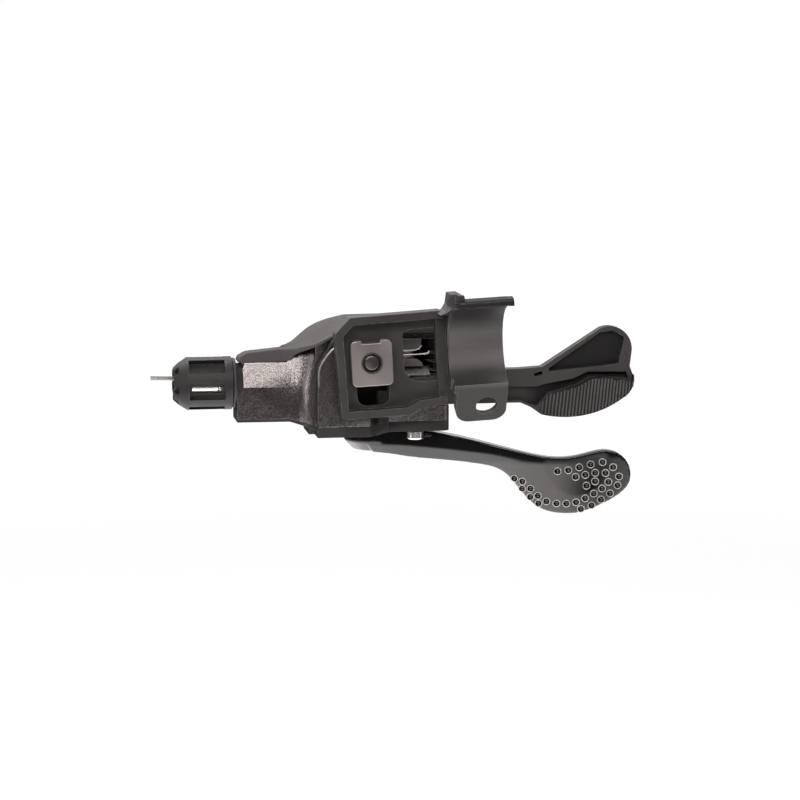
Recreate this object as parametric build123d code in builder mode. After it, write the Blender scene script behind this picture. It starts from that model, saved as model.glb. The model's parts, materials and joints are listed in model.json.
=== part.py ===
# Trigger gear shifter for the right hand: clamp bracket, housing, indexed winder,
# main lever, two-way release lever and cable adjuster.
# Millimetres. +X runs outboard along the bar, +Y points forward, +Z follows the lever axle.
import math
import os

from build123d import *

os.makedirs("parts", exist_ok=True)

# Fits and clearances
RUN = 0.05
GAP = 0.35
SLIP = 0.02

# Handlebar and the planes that follow it
BAR_R = 11.1
BAR_TILT = 3.0
TILT_COS = math.cos(math.radians(BAR_TILT))
TILT_SIN = math.sin(math.radians(BAR_TILT))
BAR_DIR = Vector(TILT_COS, 0, TILT_SIN)
BAR_UP = Vector(-TILT_SIN, 0, TILT_COS)
BAR_FACE = Plane(origin=(0, 0, 0), x_dir=BAR_DIR, z_dir=(0, -1, 0))
BAR_SECTION = Plane(origin=(0, 0, 0), x_dir=(0, 1, 0), z_dir=BAR_DIR)

# Saddle, lip and clamp ear of the bracket
SADDLE_HALF = 7.0
SADDLE_WALL = 2.6
SADDLE_LOW = -58.0
SADDLE_HIGH = 80.0
LIP_POINTS = [(2.6, 11.25), (2.7, 13.4), (0.6, 13.0), (0.0, 12.4), (0.0, 11.25)]
LIP_END = 8.4
LIP_HOOK_DROP = 1.0
LIP_HOOK_LENGTH = 1.0
BUMP_POINTS = [(3.4, 12.6), (3.0, 14.5), (0.8, 14.5), (0.0, 13.6), (0.0, 12.6)]
BUMP_LENGTH = 2.6
GUSSET_POINTS = [(-9.8, 9.2), (-8.3, 10.2), (-7.4, 11.6), (-6.9, 14.4), (-4.4, 14.4), (-4.4, 9.2)]
GUSSET_FRONT = 2.6
GUSSET_BACK = 14.0
EAR_LENGTH = 23.5
EAR_LEFT = -6.4
EAR_RIGHT = 7.0
EAR_T = 3.0
EAR_CORNER = 3.6
EAR_HOLE_R = 2.8
EAR_HOLE_U = 1.7
EAR_HOLE_REACH = 18.4

# Frame of the bracket, drawn along and across the bar
FRAME_FRONT = 12.0
FRAME_BACK = 17.5
FRAME_FLOOR = 15.3
FRAME_RIM = 2.0
FRAME_CORNER = 0.8
FRAME_POINTS = [
    (-36.2, -17.0),
    (-36.7, 5.6),
    (-32.7, 9.5),
    (-8.2, 9.8),
    (-8.2, -14.9),
    (-15.2, -15.4),
    (-18.2, -17.0),
]
SLOT_U = -27.2
SLOT_LOW = -14.3
SLOT_HIGH = 1.2
SLOT_WIDTH = 8.4
SLOT_CORNER = 2.6
WINDOW_POINTS = [(-18.7, 4.4), (-18.7, -8.8), (-9.9, -8.8), (-9.9, 5.2), (-16.8, 5.0)]
WINDOW_BIG_R = 4.0
HOLLOW_RIGHT = -8.0
HOLLOW_LOW = -12.6
HOLLOW_HIGH = 7.8
WEB_LEFT = -9.4
WEB_RIGHT = -2.6
WEB_LOW = -10.6
WEB_HIGH = 9.0
WEB_FRONT = 13.3
WEB_CORNER = 3.2
BAR_CUT_START = -47.0
BAR_CUT_END = 28.0
RIM_LEFT = -7.6
RIM_T = 1.5
RIM_RISE = 1.3
RIM_LOW = -46.0
RIM_HIGH = 86.0

# Nut plate and bracket bolt
NUT_U = -27.4
NUT_W = -2.8
NUT_WIDTH = 11.0
NUT_HEIGHT = 12.2
NUT_T = 2.5
NUT_CORNER = 1.5
NUT_NOTCH_W = 4.8
NUT_NOTCH_D = 0.8
NUT_BORE_R = 2.5
BOLT_R = 2.45
BOLT_TIP_Y = 13.1
BOLT_TIP_BREAK = 0.7
BOLT_ROOT_Y = 23.5
BOLT_POCKET_DROP = 4.2
BOLT_X = NUT_U * TILT_COS - NUT_W * TILT_SIN
BOLT_Z = NUT_U * TILT_SIN + NUT_W * TILT_COS

# Lever axle, indexing and the cable line
AXLE_X = -22.5
AXLE_Y = 41.4
AXLE_R = 3.0
STEP_ANGLE = 18.0
CABLE_PULL = 3.6
DRUM_R = CABLE_PULL / math.radians(STEP_ANGLE)
WIRE_R = 0.6
CABLE_Y = AXLE_Y - DRUM_R
CABLE_Z = -10.8
CABLE_STUB = 6.0
CABLE_JOINT = 0.1
CABLE_END_RISE = 1.6

# Housing levels and plan
SEAM_Z = -21.5
ROOF_Z = 1.6
CAVITY_TOP = -1.2
BODY_R = 16.2
CAVITY_R = 14.4
BOSS_FRONT = FRAME_BACK
BOSS_LEFT = -40.9
BOSS_POINTS = [
    (BOSS_LEFT, BOSS_FRONT),
    (-22.8, BOSS_FRONT),
    (-18.8, 25.4),
    (-18.8, 36.0),
    (BOSS_LEFT, 36.0),
]
BOSS_UNDERCUT = [(-27.5, 17.0), (-20.9, 25.4), (-18.0, 25.4), (-18.0, 17.0)]
BOSS_UNDERCUT_TOP = -12.5
BOSS_LEAN = [(-41.5, -6.2), (-36.6, 1.8), (-41.5, 1.8)]
BOSS_LEAN_DEPTH = 5.0
BOSS_POCKET_Y = 20.2
CORNER_OVER = 1.9
CORNER_RIGHT = AXLE_X + BODY_R + CORNER_OVER
CORNER_LEFT = -22.0
CORNER_FRONT = 25.4
CORNER_BACK = 37.0
CORNER_ROUND = 2.2
NECK_END = -61.3
NECK_FRONT = 24.9
NECK_ROOT_FRONT = 24.4
NECK_BACK = 36.2
NECK_INSIDE = -33.0
COVE_R = 6.6
NECK_EDGE_Z = -11.6
NECK_TOP_Z = -5.3
NECK_TAPER = 20.0
NECK_FLOOR_Z = -20.0
NECK_FLOOR_BREAK = -47.5
ROOF_SLOPE = [(-48.0, -5.3), (-45.4, -3.1), (-39.6, 0.0), (-35.8, ROOF_Z)]
DEPTH_NEAR = 10.0
DEPTH_FAR = 62.0

# Window pocket, release lever notch and release pin in the front right corner
RELEASE_X = -9.2
RELEASE_Y = 28.2
NOTCH_LEFT = -16.6
NOTCH_BACK = 35.0
NOTCH_LOW = -17.7
NOTCH_HIGH = -10.4
POCKET_LEFT = -19.4
POCKET_RIGHT = -5.9
POCKET_BACK = 33.0
POCKET_LOW = -8.8
POCKET_HIGH = 0.4
POCKET_WALL = 1.2
POCKET_WALL_R = CAVITY_R + POCKET_WALL
RELEASE_PIN_R = 1.8
RELEASE_PIN_LOW = -20.6
RELEASE_PIN_HIGH = POCKET_HIGH - GAP

# Adjuster line
TUBE_R = 3.0
TUBE_BORE_R = 2.15
KNOB_SHY = 1.15
KNOB_LENGTH = 15.25
KNOB_RIGHT = NECK_END - KNOB_SHY
KNOB_LEFT = KNOB_RIGHT - KNOB_LENGTH
KNOB_PLAY = 0.08
KNOB_BORE_R = TUBE_R + KNOB_PLAY
KNOB_R = 7.05
KNOB_PROFILE = [(0.0, 4.3), (1.3, 5.5), (3.7, KNOB_R), (KNOB_LENGTH, KNOB_R)]
TUBE_SHY = 2.1
TUBE_ROOT = 8.3
TUBE_LEFT = KNOB_LEFT + TUBE_SHY
TUBE_RIGHT = NECK_END + TUBE_ROOT
KNOB_POCKETS = 6
KNOB_POCKET_TURN = -13.0
KNOB_POCKET_L = 9.4
KNOB_POCKET_BACK = 6.65
KNOB_POCKET_X = KNOB_RIGHT - KNOB_POCKET_BACK
KNOB_POCKET_W = 4.6
KNOB_POCKET_R = 5.1
KNOB_SLOT_L = 8.0
KNOB_SLOT_W = 1.9
KNOB_SLOTS = 3
KNOB_NOTCH_W = 2.3
KNOB_NOTCH_D = 1.3

# Top cover
COVER_SHY = 0.4
COVER_END = NECK_END + COVER_SHY
COVER_NOSE = 2.5
COVER_TIP = 0.5
COVER_TOP_POINTS = [
    (-7.4, 4.4),
    (-13.5, 6.2),
    (-30.8, 6.0),
    (-34.4, 5.0),
    (-45.2, -1.3),
    (-47.4, -1.9),
    (COVER_END + COVER_NOSE, -2.9),
    (COVER_END + COVER_TIP, -4.0),
    (COVER_END, NECK_TOP_Z),
]
COVER_PLAN = [
    (NECK_END, 27.1),
    (-49.0, 27.1),
    (-44.6, 25.0),
    (-41.6, 21.6),
    (-40.6, 20.3),
    (-24.0, 20.3),
    (-19.5, 25.9),
    (-7.4, 25.9),
    (-7.4, 38.0),
    (-18.8, 38.0),
    (-40.0, 35.4),
    (NECK_END, 34.6),
]
COVER_R = 16.0

# Bottom cover and its fasteners
BOTTOM_T = 2.8
BOTTOM_Z = SEAM_Z - BOTTOM_T
BOTTOM_LEFT = -42.4
STRIP_T = 0.8
STRIP_SLOPE_T = 1.3
SLEEVE_HOLE_R = 5.6
STOP_X = -13.4
STOP_Y = 27.9
STOP_R = 2.3
STOP_DROP = 2.4

# Nest of the cable head in the drum, and the wire wound on to it in short bends
NEST_ANGLE = -50.0
NEST_COS = math.cos(math.radians(NEST_ANGLE))
NEST_SIN = math.sin(math.radians(NEST_ANGLE))
NEST_POINT = (AXLE_X + DRUM_R * NEST_COS, AXLE_Y + DRUM_R * NEST_SIN, CABLE_Z)
NEST_DIR = Vector(-NEST_SIN, NEST_COS, 0)
NEST_PLANE = Plane(origin=NEST_POINT, x_dir=(0, 0, 1), z_dir=NEST_DIR)
WOUND_BENDS = 2
WOUND_BEND = (NEST_ANGLE + 90) / WOUND_BENDS

# Mechanism levels
DRIVE_LOW = -18.9
DRIVE_T = 1.5
RATCHET_LOW = -17.1
PAWL_T = 1.6
RATCHET_T = 2.6
FLANGE_LOW = RATCHET_LOW + RATCHET_T
FLANGE_R = 13.0
GROOVE_HALF = 0.8
DRUM_TOP = -8.0
GROOVE_R = DRUM_R * math.cos(math.radians(WOUND_BEND / 2)) - WIRE_R - SLIP
HEAD_R = 2.2
HEAD_L = 4.4
RATCHET_TEETH = round(360 / STEP_ANGLE)
RATCHET_TIP_R = 8.65
RATCHET_ROOT_R = 7.4
RATCHET_LAND = 6.0
AXLE_TOP = 0.9
AXLE_LOW = -30.2
AXLE_NUT_AF_R = 4.4
AXLE_NUT_T = 1.9

# Pawls, drawn in the engaged position about the axle and then swung clear
PAWL_SWING = 14.0
PAWL_PIVOT = (10.05, -5.8)
PAWL_EYE_R = 2.0
PAWL_PIN_R = 0.9
PAWL_POINTS = [
    (7.75, -0.22),
    (9.8, -0.22),
    (11.3, -3.4),
    (11.9, -5.2),
    (8.5, -6.6),
    (9.0, -4.2),
    (9.15, -1.9),
    (8.45, -0.9),
]
PAWL_TAIL = [(11.0, -4.2), (12.0, -5.9), (11.9, -8.0), (10.6, -8.0), (8.6, -6.4)]
HOLD_ANGLE = 0.0
FEED_STEPS = 6
FEED_ANGLE = FEED_STEPS * STEP_ANGLE
PAWL_PIN_STAND = 0.3
PAWL_PIN_TOP = RATCHET_LOW + PAWL_T + PAWL_PIN_STAND

# Springs
COIL_BENDS = 12
SPRING_WIRE = 1.1
WINDER_SPRING_R = 7.4
WINDER_SPRING_PITCH = 2.0
WINDER_SPRING_TURNS = 2.5
LEVER_SPRING_WIRE = 0.8
LEVER_SPRING_R = 6.7
LEVER_SPRING_PITCH = 0.95
LEVER_SPRING_TURNS = 1.2
RELEASE_SPRING_WIRE = 0.9
RELEASE_SPRING_R = 2.6
RELEASE_SPRING_PITCH = 2.2
RELEASE_SPRING_TURNS = 2.8

# Main lever
HUB_R = 8.2
HUB_TOP = BOTTOM_Z - GAP
HUB_LOW = -31.0
HUB_ROUND = 2.6
HUB_POCKET_R = 4.9
HUB_POCKET_TOP = -28.0
SLEEVE_GAP = 0.3
SLEEVE_R = SLEEVE_HOLE_R - SLEEVE_GAP
DRIVE_RING = 2.3
DRIVE_SIDES = 8
LEVER_FRONT = [
    (-25.4, 33.8),
    (-19.5, 32.8),
    (-13.4, 30.8),
    (0.0, 21.8),
    (6.0, 18.0),
    (12.0, 15.6),
    (20.0, 13.4),
    (30.0, 11.0),
    (42.0, 8.4),
]
LEVER_BACK = [
    (42.0, 11.4),
    (31.0, 14.2),
    (21.0, 16.9),
    (13.0, 19.8),
    (7.0, 23.0),
    (0.0, 28.0),
    (-12.0, 37.4),
    (-18.0, 42.6),
]
LEVER_TOP_LINE = [
    (-26.0, -24.65),
    (-16.6, -24.75),
    (-7.5, -25.2),
    (2.2, -26.6),
    (14.6, -29.3),
    (22.0, -30.4),
]
PADDLE_TOP_LINE = [
    (26.9, -30.0),
    (31.8, -28.7),
    (34.8, -28.2),
    (37.9, -29.0),
    (40.0, -31.0),
    (41.2, -35.0),
]
PADDLE_LOW_LINE = [
    (40.8, -37.1),
    (38.1, -40.2),
    (31.9, -43.7),
    (27.0, -45.3),
    (23.4, -45.4),
    (18.7, -44.4),
]
LEVER_LOW_LINE = [
    (16.0, -42.6),
    (13.1, -39.3),
    (10.6, -36.2),
    (7.5, -33.9),
    (3.6, -33.0),
    (-8.8, -32.6),
    (-17.4, -31.9),
]
LEVER_HEEL = (-26.0, -31.0)
# Crease along the front of the lever; below it the face leans back to the lower edge
CREASE_LINE = [
    (-27.0, -28.4),
    (-13.4, -29.4),
    (0.0, -29.7),
    (9.0, -30.6),
    (19.0, -32.2),
    (28.0, -31.6),
    (36.0, -30.2),
    (43.0, -30.0),
]
CREASE_STATIONS = 10
CREASE_LEAN = 1.9
CREASE_FADE = 0.9
CREASE_OVER = 0.4
CREASE_UNDER = 1.5
LINE_SAMPLES = 400
DISH_CENTRE = Vector(28.0, 11.4, -36.8)
DISH_NORMAL = Vector(-0.233, -0.972, 0)
DISH_R = 80.0
DISH_DEPTH = 0.8
LEVER_BOX_LOW = -47.0

# Release lever
RELEASE_HUB_R = 3.4
RELEASE_HUB_LOW = NOTCH_LOW + GAP
RELEASE_HUB_HIGH = NOTCH_HIGH - GAP
RELEASE_CAM = [(-2.4, 2.2), (-0.9, 4.4), (0.9, 4.4), (2.4, 2.2)]
RELEASE_RIBBON = [
    (-9.0, 26.2),
    (47.0, 26.4),
    (47.0, 29.0),
    (24.0, 29.6),
    (4.0, 30.9),
    (-9.0, 30.6),
]
RELEASE_ARM_TOP = [(-9.2, -10.75), (-3.0, -10.75), (-1.2, -8.4), (14.7, -8.2), (20.7, -7.8)]
RELEASE_WING = [(36.5, 2.3), (42.9, 1.5), (45.3, -4.0)]
RELEASE_WAIST = (44.8, -8.1)
PAD_TIP = [(45.6, -10.2), (45.1, -13.9), (42.6, -16.3)]
PAD_UNDER = [PAD_TIP[-1], (32.0, -20.7), (20.6, -20.7)]
RELEASE_ARM_UNDER = [(17.6, -18.6), (14.8, -17.35), (-9.2, -17.35)]
PAD_LEDGE = [
    (19.6, -18.4),
    (22.4, -15.0),
    (29.8, -13.0),
    (33.6, -11.0),
    (36.8, -10.6),
    (45.3, -11.9),
]
PAD_FRONT = [(18.5, 27.2), (32.0, 23.6), (46.0, 25.0)]
PAD_BACK = 28.0
WING_POCKET = [
    (23.6, -7.9),
    (36.6, 0.7),
    (40.3, 1.1),
    (42.8, -0.6),
    (41.2, -7.2),
    (37.0, -8.0),
]
WING_POCKET_FLOOR = 27.9
TRENCH_DEPTH = 27.8
TRENCH = [
    (9.0, -12.8),
    (19.4, -13.1),
    (21.2, -12.5),
    (29.2, -11.2),
    (33.2, -9.4),
    (43.8, -9.6),
    (44.4, -11.4),
    (36.0, -10.7),
    (33.6, -10.9),
    (29.8, -12.9),
    (22.4, -14.9),
    (19.4, -18.2),
    (17.6, -17.8),
    (14.8, -16.7),
    (9.0, -16.7),
]
ARM_SLOT = (19.7, -9.7)
ARM_SLOT_L = 2.3
ARM_SLOT_W = 0.9
ARM_SLOT_TURN = 16.0
RELEASE_EDGE = 0.5


def about_axle(x, y, angle):
    """Turn a point drawn about the axle and move it to the axle."""
    turn = math.radians(angle)
    return (
        AXLE_X + x * math.cos(turn) - y * math.sin(turn),
        AXLE_Y + x * math.sin(turn) + y * math.cos(turn),
    )


def pawl_plane(angle, level):
    """Plane whose origin is the axle of the engaged pawl drawing, swung clear about the pawl pin."""
    pivot = Vector(*about_axle(*PAWL_PIVOT, angle), level)
    turn = math.radians(angle - PAWL_SWING)
    along = Vector(math.cos(turn), math.sin(turn), 0)
    across = Vector(-math.sin(turn), math.cos(turn), 0)
    origin = pivot - along * PAWL_PIVOT[0] - across * PAWL_PIVOT[1]
    return Plane(origin=origin, x_dir=along, z_dir=(0, 0, 1))


def cable_plane(x):
    """Plane across the cable line at a given station, facing inboard."""
    return Plane(origin=(x, CABLE_Y, CABLE_Z), x_dir=(0, 1, 0), z_dir=(-1, 0, 0))


def coil_points(radius, pitch, turns, centre):
    """Corner points of a coil wound in straight bends about a vertical axis."""
    points = []
    for bend in range(round(turns * COIL_BENDS) + 1):
        share = bend / COIL_BENDS
        bearing = 2 * math.pi * share
        points.append(
            (
                centre[0] + radius * math.cos(bearing),
                centre[1] + radius * math.sin(bearing),
                centre[2] + pitch * share,
            )
        )
    return points


WINDER_COIL_FOOT = (AXLE_X, AXLE_Y, DRUM_TOP + SPRING_WIRE / 2 + SLIP)
LEVER_COIL_FOOT = (AXLE_X, AXLE_Y, SEAM_Z + LEVER_SPRING_WIRE / 2 + SLIP)
RELEASE_COIL_FOOT = (RELEASE_X, RELEASE_Y, POCKET_LOW + RELEASE_SPRING_WIRE / 2 + SLIP)
HOLD_PIN = about_axle(*PAWL_PIVOT, HOLD_ANGLE)
FEED_PIN = about_axle(*PAWL_PIVOT, FEED_ANGLE)
EAR_RAD = math.radians(-SADDLE_LOW)
EAR_NORMAL = Vector(0, -1, 0) * math.sin(EAR_RAD) - BAR_UP * math.cos(EAR_RAD)
EAR_PLANE = Plane(origin=(0, 0, 0), x_dir=BAR_DIR * -1, z_dir=EAR_NORMAL)
FRAME_PLANE = BAR_FACE.offset(-FRAME_FRONT)
FLOOR_PLANE = BAR_FACE.offset(-FRAME_FLOOR)

# Clamp bracket: open frame, half saddle for the bar, top lip and lower clamp ear
with BuildPart() as clamp_bracket:
    with BuildSketch(FRAME_PLANE) as frame_outline:
        with BuildLine():
            Polyline(*FRAME_POINTS, close=True)
        make_face()
        fillet(frame_outline.vertices(), radius=FRAME_CORNER)
    extrude(amount=FRAME_FRONT - FRAME_BACK)
    with BuildSketch(FRAME_PLANE):
        with BuildLine():
            Polyline(*FRAME_POINTS, close=True)
        make_face()
        offset(amount=-FRAME_RIM, kind=Kind.INTERSECTION)
    extrude(amount=FRAME_FRONT - FRAME_FLOOR, mode=Mode.SUBTRACT)
    # the hollow opens to the saddle between the top and bottom rims
    with BuildSketch(FRAME_PLANE):
        with Locations(((HOLLOW_RIGHT - FRAME_RIM), (HOLLOW_LOW + HOLLOW_HIGH) / 2)):
            Rectangle(2 * FRAME_RIM, HOLLOW_HIGH - HOLLOW_LOW)
    extrude(amount=FRAME_FRONT - WEB_FRONT, mode=Mode.SUBTRACT)
    # web that carries the saddle
    with BuildSketch(BAR_FACE.offset(-WEB_FRONT)):
        with Locations(((WEB_LEFT + WEB_RIGHT) / 2, (WEB_LOW + WEB_HIGH) / 2)):
            Rectangle(WEB_RIGHT - WEB_LEFT, WEB_HIGH - WEB_LOW)
    extrude(amount=WEB_FRONT - FRAME_BACK)
    web_end = clamp_bracket.faces(Select.LAST).sort_by(Axis.X)[-1]
    chamfer(web_end.edges().sort_by(Axis.Y)[-1], length=WEB_CORNER)
    # half saddle
    with BuildSketch(BAR_SECTION.offset(-SADDLE_HALF)):
        with BuildLine():
            saddle_in = CenterArc((0, 0), BAR_R, SADDLE_LOW, SADDLE_HIGH - SADDLE_LOW)
            saddle_out = CenterArc((0, 0), BAR_R + SADDLE_WALL, SADDLE_LOW, SADDLE_HIGH - SADDLE_LOW)
            Line(saddle_in @ 0, saddle_out @ 0)
            Line(saddle_in @ 1, saddle_out @ 1)
        make_face()
    extrude(amount=2 * SADDLE_HALF)
    # raised rim at the inboard end of the saddle
    with BuildSketch(BAR_SECTION.offset(RIM_LEFT)):
        with BuildLine():
            rim_in = CenterArc((0, 0), BAR_R, RIM_LOW, RIM_HIGH - RIM_LOW)
            rim_out = CenterArc((0, 0), BAR_R + SADDLE_WALL + RIM_RISE, RIM_LOW, RIM_HIGH - RIM_LOW)
            Line(rim_in @ 0, rim_out @ 0)
            Line(rim_in @ 1, rim_out @ 1)
        make_face()
    extrude(amount=RIM_T)
    # lip with its hooked end and the raised hinge bump
    with BuildSketch(BAR_SECTION.offset(-SADDLE_HALF)):
        with BuildLine():
            Polyline(*LIP_POINTS, close=True)
        make_face()
    extrude(amount=SADDLE_HALF + LIP_END)
    with BuildSketch(BAR_SECTION.offset(LIP_END - LIP_HOOK_LENGTH)):
        with Locations((LIP_POINTS[0][0] / 2, LIP_POINTS[0][1] - LIP_HOOK_DROP / 2 + SLIP)):
            Rectangle(LIP_POINTS[0][0], LIP_HOOK_DROP)
    extrude(amount=LIP_HOOK_LENGTH)
    with BuildSketch(BAR_SECTION.offset(-SADDLE_HALF)):
        with BuildLine():
            Polyline(*BUMP_POINTS, close=True)
        make_face()
    extrude(amount=BUMP_LENGTH)
    # gusset that sweeps up from the frame to the bump
    with BuildSketch(BAR_FACE.offset(-GUSSET_FRONT)):
        with BuildLine():
            Polyline(*GUSSET_POINTS, close=True)
        make_face()
    extrude(amount=GUSSET_FRONT - GUSSET_BACK)
    # clamp ear
    with BuildSketch(EAR_PLANE) as ear_outline:
        with Locations((-(EAR_LEFT + EAR_RIGHT) / 2, (BAR_R + SLIP + EAR_LENGTH) / 2)):
            Rectangle(EAR_RIGHT - EAR_LEFT, EAR_LENGTH - BAR_R - SLIP)
        fillet(ear_outline.vertices().group_by(Axis.Y)[-1], radius=EAR_CORNER)
        with Locations((-EAR_HOLE_U, EAR_HOLE_REACH)):
            Circle(EAR_HOLE_R, mode=Mode.SUBTRACT)
    extrude(amount=-EAR_T)
    # slot behind the nut, window, and clearance for the bar
    with BuildSketch(FLOOR_PLANE) as slot_outline:
        with Locations((SLOT_U, (SLOT_LOW + SLOT_HIGH) / 2)):
            RectangleRounded(SLOT_WIDTH, SLOT_HIGH - SLOT_LOW, SLOT_CORNER)
    extrude(amount=FRAME_FLOOR - FRAME_BACK, mode=Mode.SUBTRACT)
    with BuildSketch(FLOOR_PLANE) as window_outline:
        with BuildLine():
            Polyline(*WINDOW_POINTS, close=True)
        make_face()
        window_low_left = window_outline.vertices().group_by(Axis.X)[0].sort_by(Axis.Y)[0]
        fillet(window_low_left, radius=WINDOW_BIG_R)
    extrude(amount=FRAME_FLOOR - FRAME_BACK, mode=Mode.SUBTRACT)
    with BuildSketch(BAR_SECTION.offset(BAR_CUT_START)):
        Circle(BAR_R)
    extrude(amount=BAR_CUT_END - BAR_CUT_START, mode=Mode.SUBTRACT)
clamp_bracket.part.label = "clamp_bracket"
export_step(clamp_bracket.part, "parts/clamp_bracket.step")

# Nut plate that pulls the bracket on to the housing boss
with BuildPart() as nut_plate:
    with BuildSketch(FLOOR_PLANE):
        with Locations((NUT_U, NUT_W)):
            RectangleRounded(NUT_WIDTH, NUT_HEIGHT, NUT_CORNER)
        with Locations((NUT_U, NUT_W + NUT_HEIGHT / 2)):
            Rectangle(NUT_NOTCH_W, 2 * NUT_NOTCH_D, mode=Mode.SUBTRACT)
    extrude(amount=NUT_T)
    with BuildSketch(FLOOR_PLANE):
        with Locations((NUT_U, NUT_W)):
            Circle(NUT_BORE_R)
    extrude(amount=NUT_T, mode=Mode.SUBTRACT)
nut_plate.part.label = "nut_plate"
export_step(nut_plate.part, "parts/nut_plate.step")

# Bracket bolt, set in the housing boss
BOLT_PLANE = Plane(origin=(BOLT_X, BOLT_ROOT_Y, BOLT_Z), x_dir=(1, 0, 0), z_dir=(0, -1, 0))
with BuildPart() as bracket_bolt:
    with BuildSketch(BOLT_PLANE):
        Circle(BOLT_R)
    extrude(amount=BOLT_ROOT_Y - BOLT_TIP_Y)
    chamfer(bracket_bolt.edges().group_by(Axis.Y)[0], length=BOLT_TIP_BREAK)
bracket_bolt.part.label = "bracket_bolt"
export_step(bracket_bolt.part, "parts/bracket_bolt.step")

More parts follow.
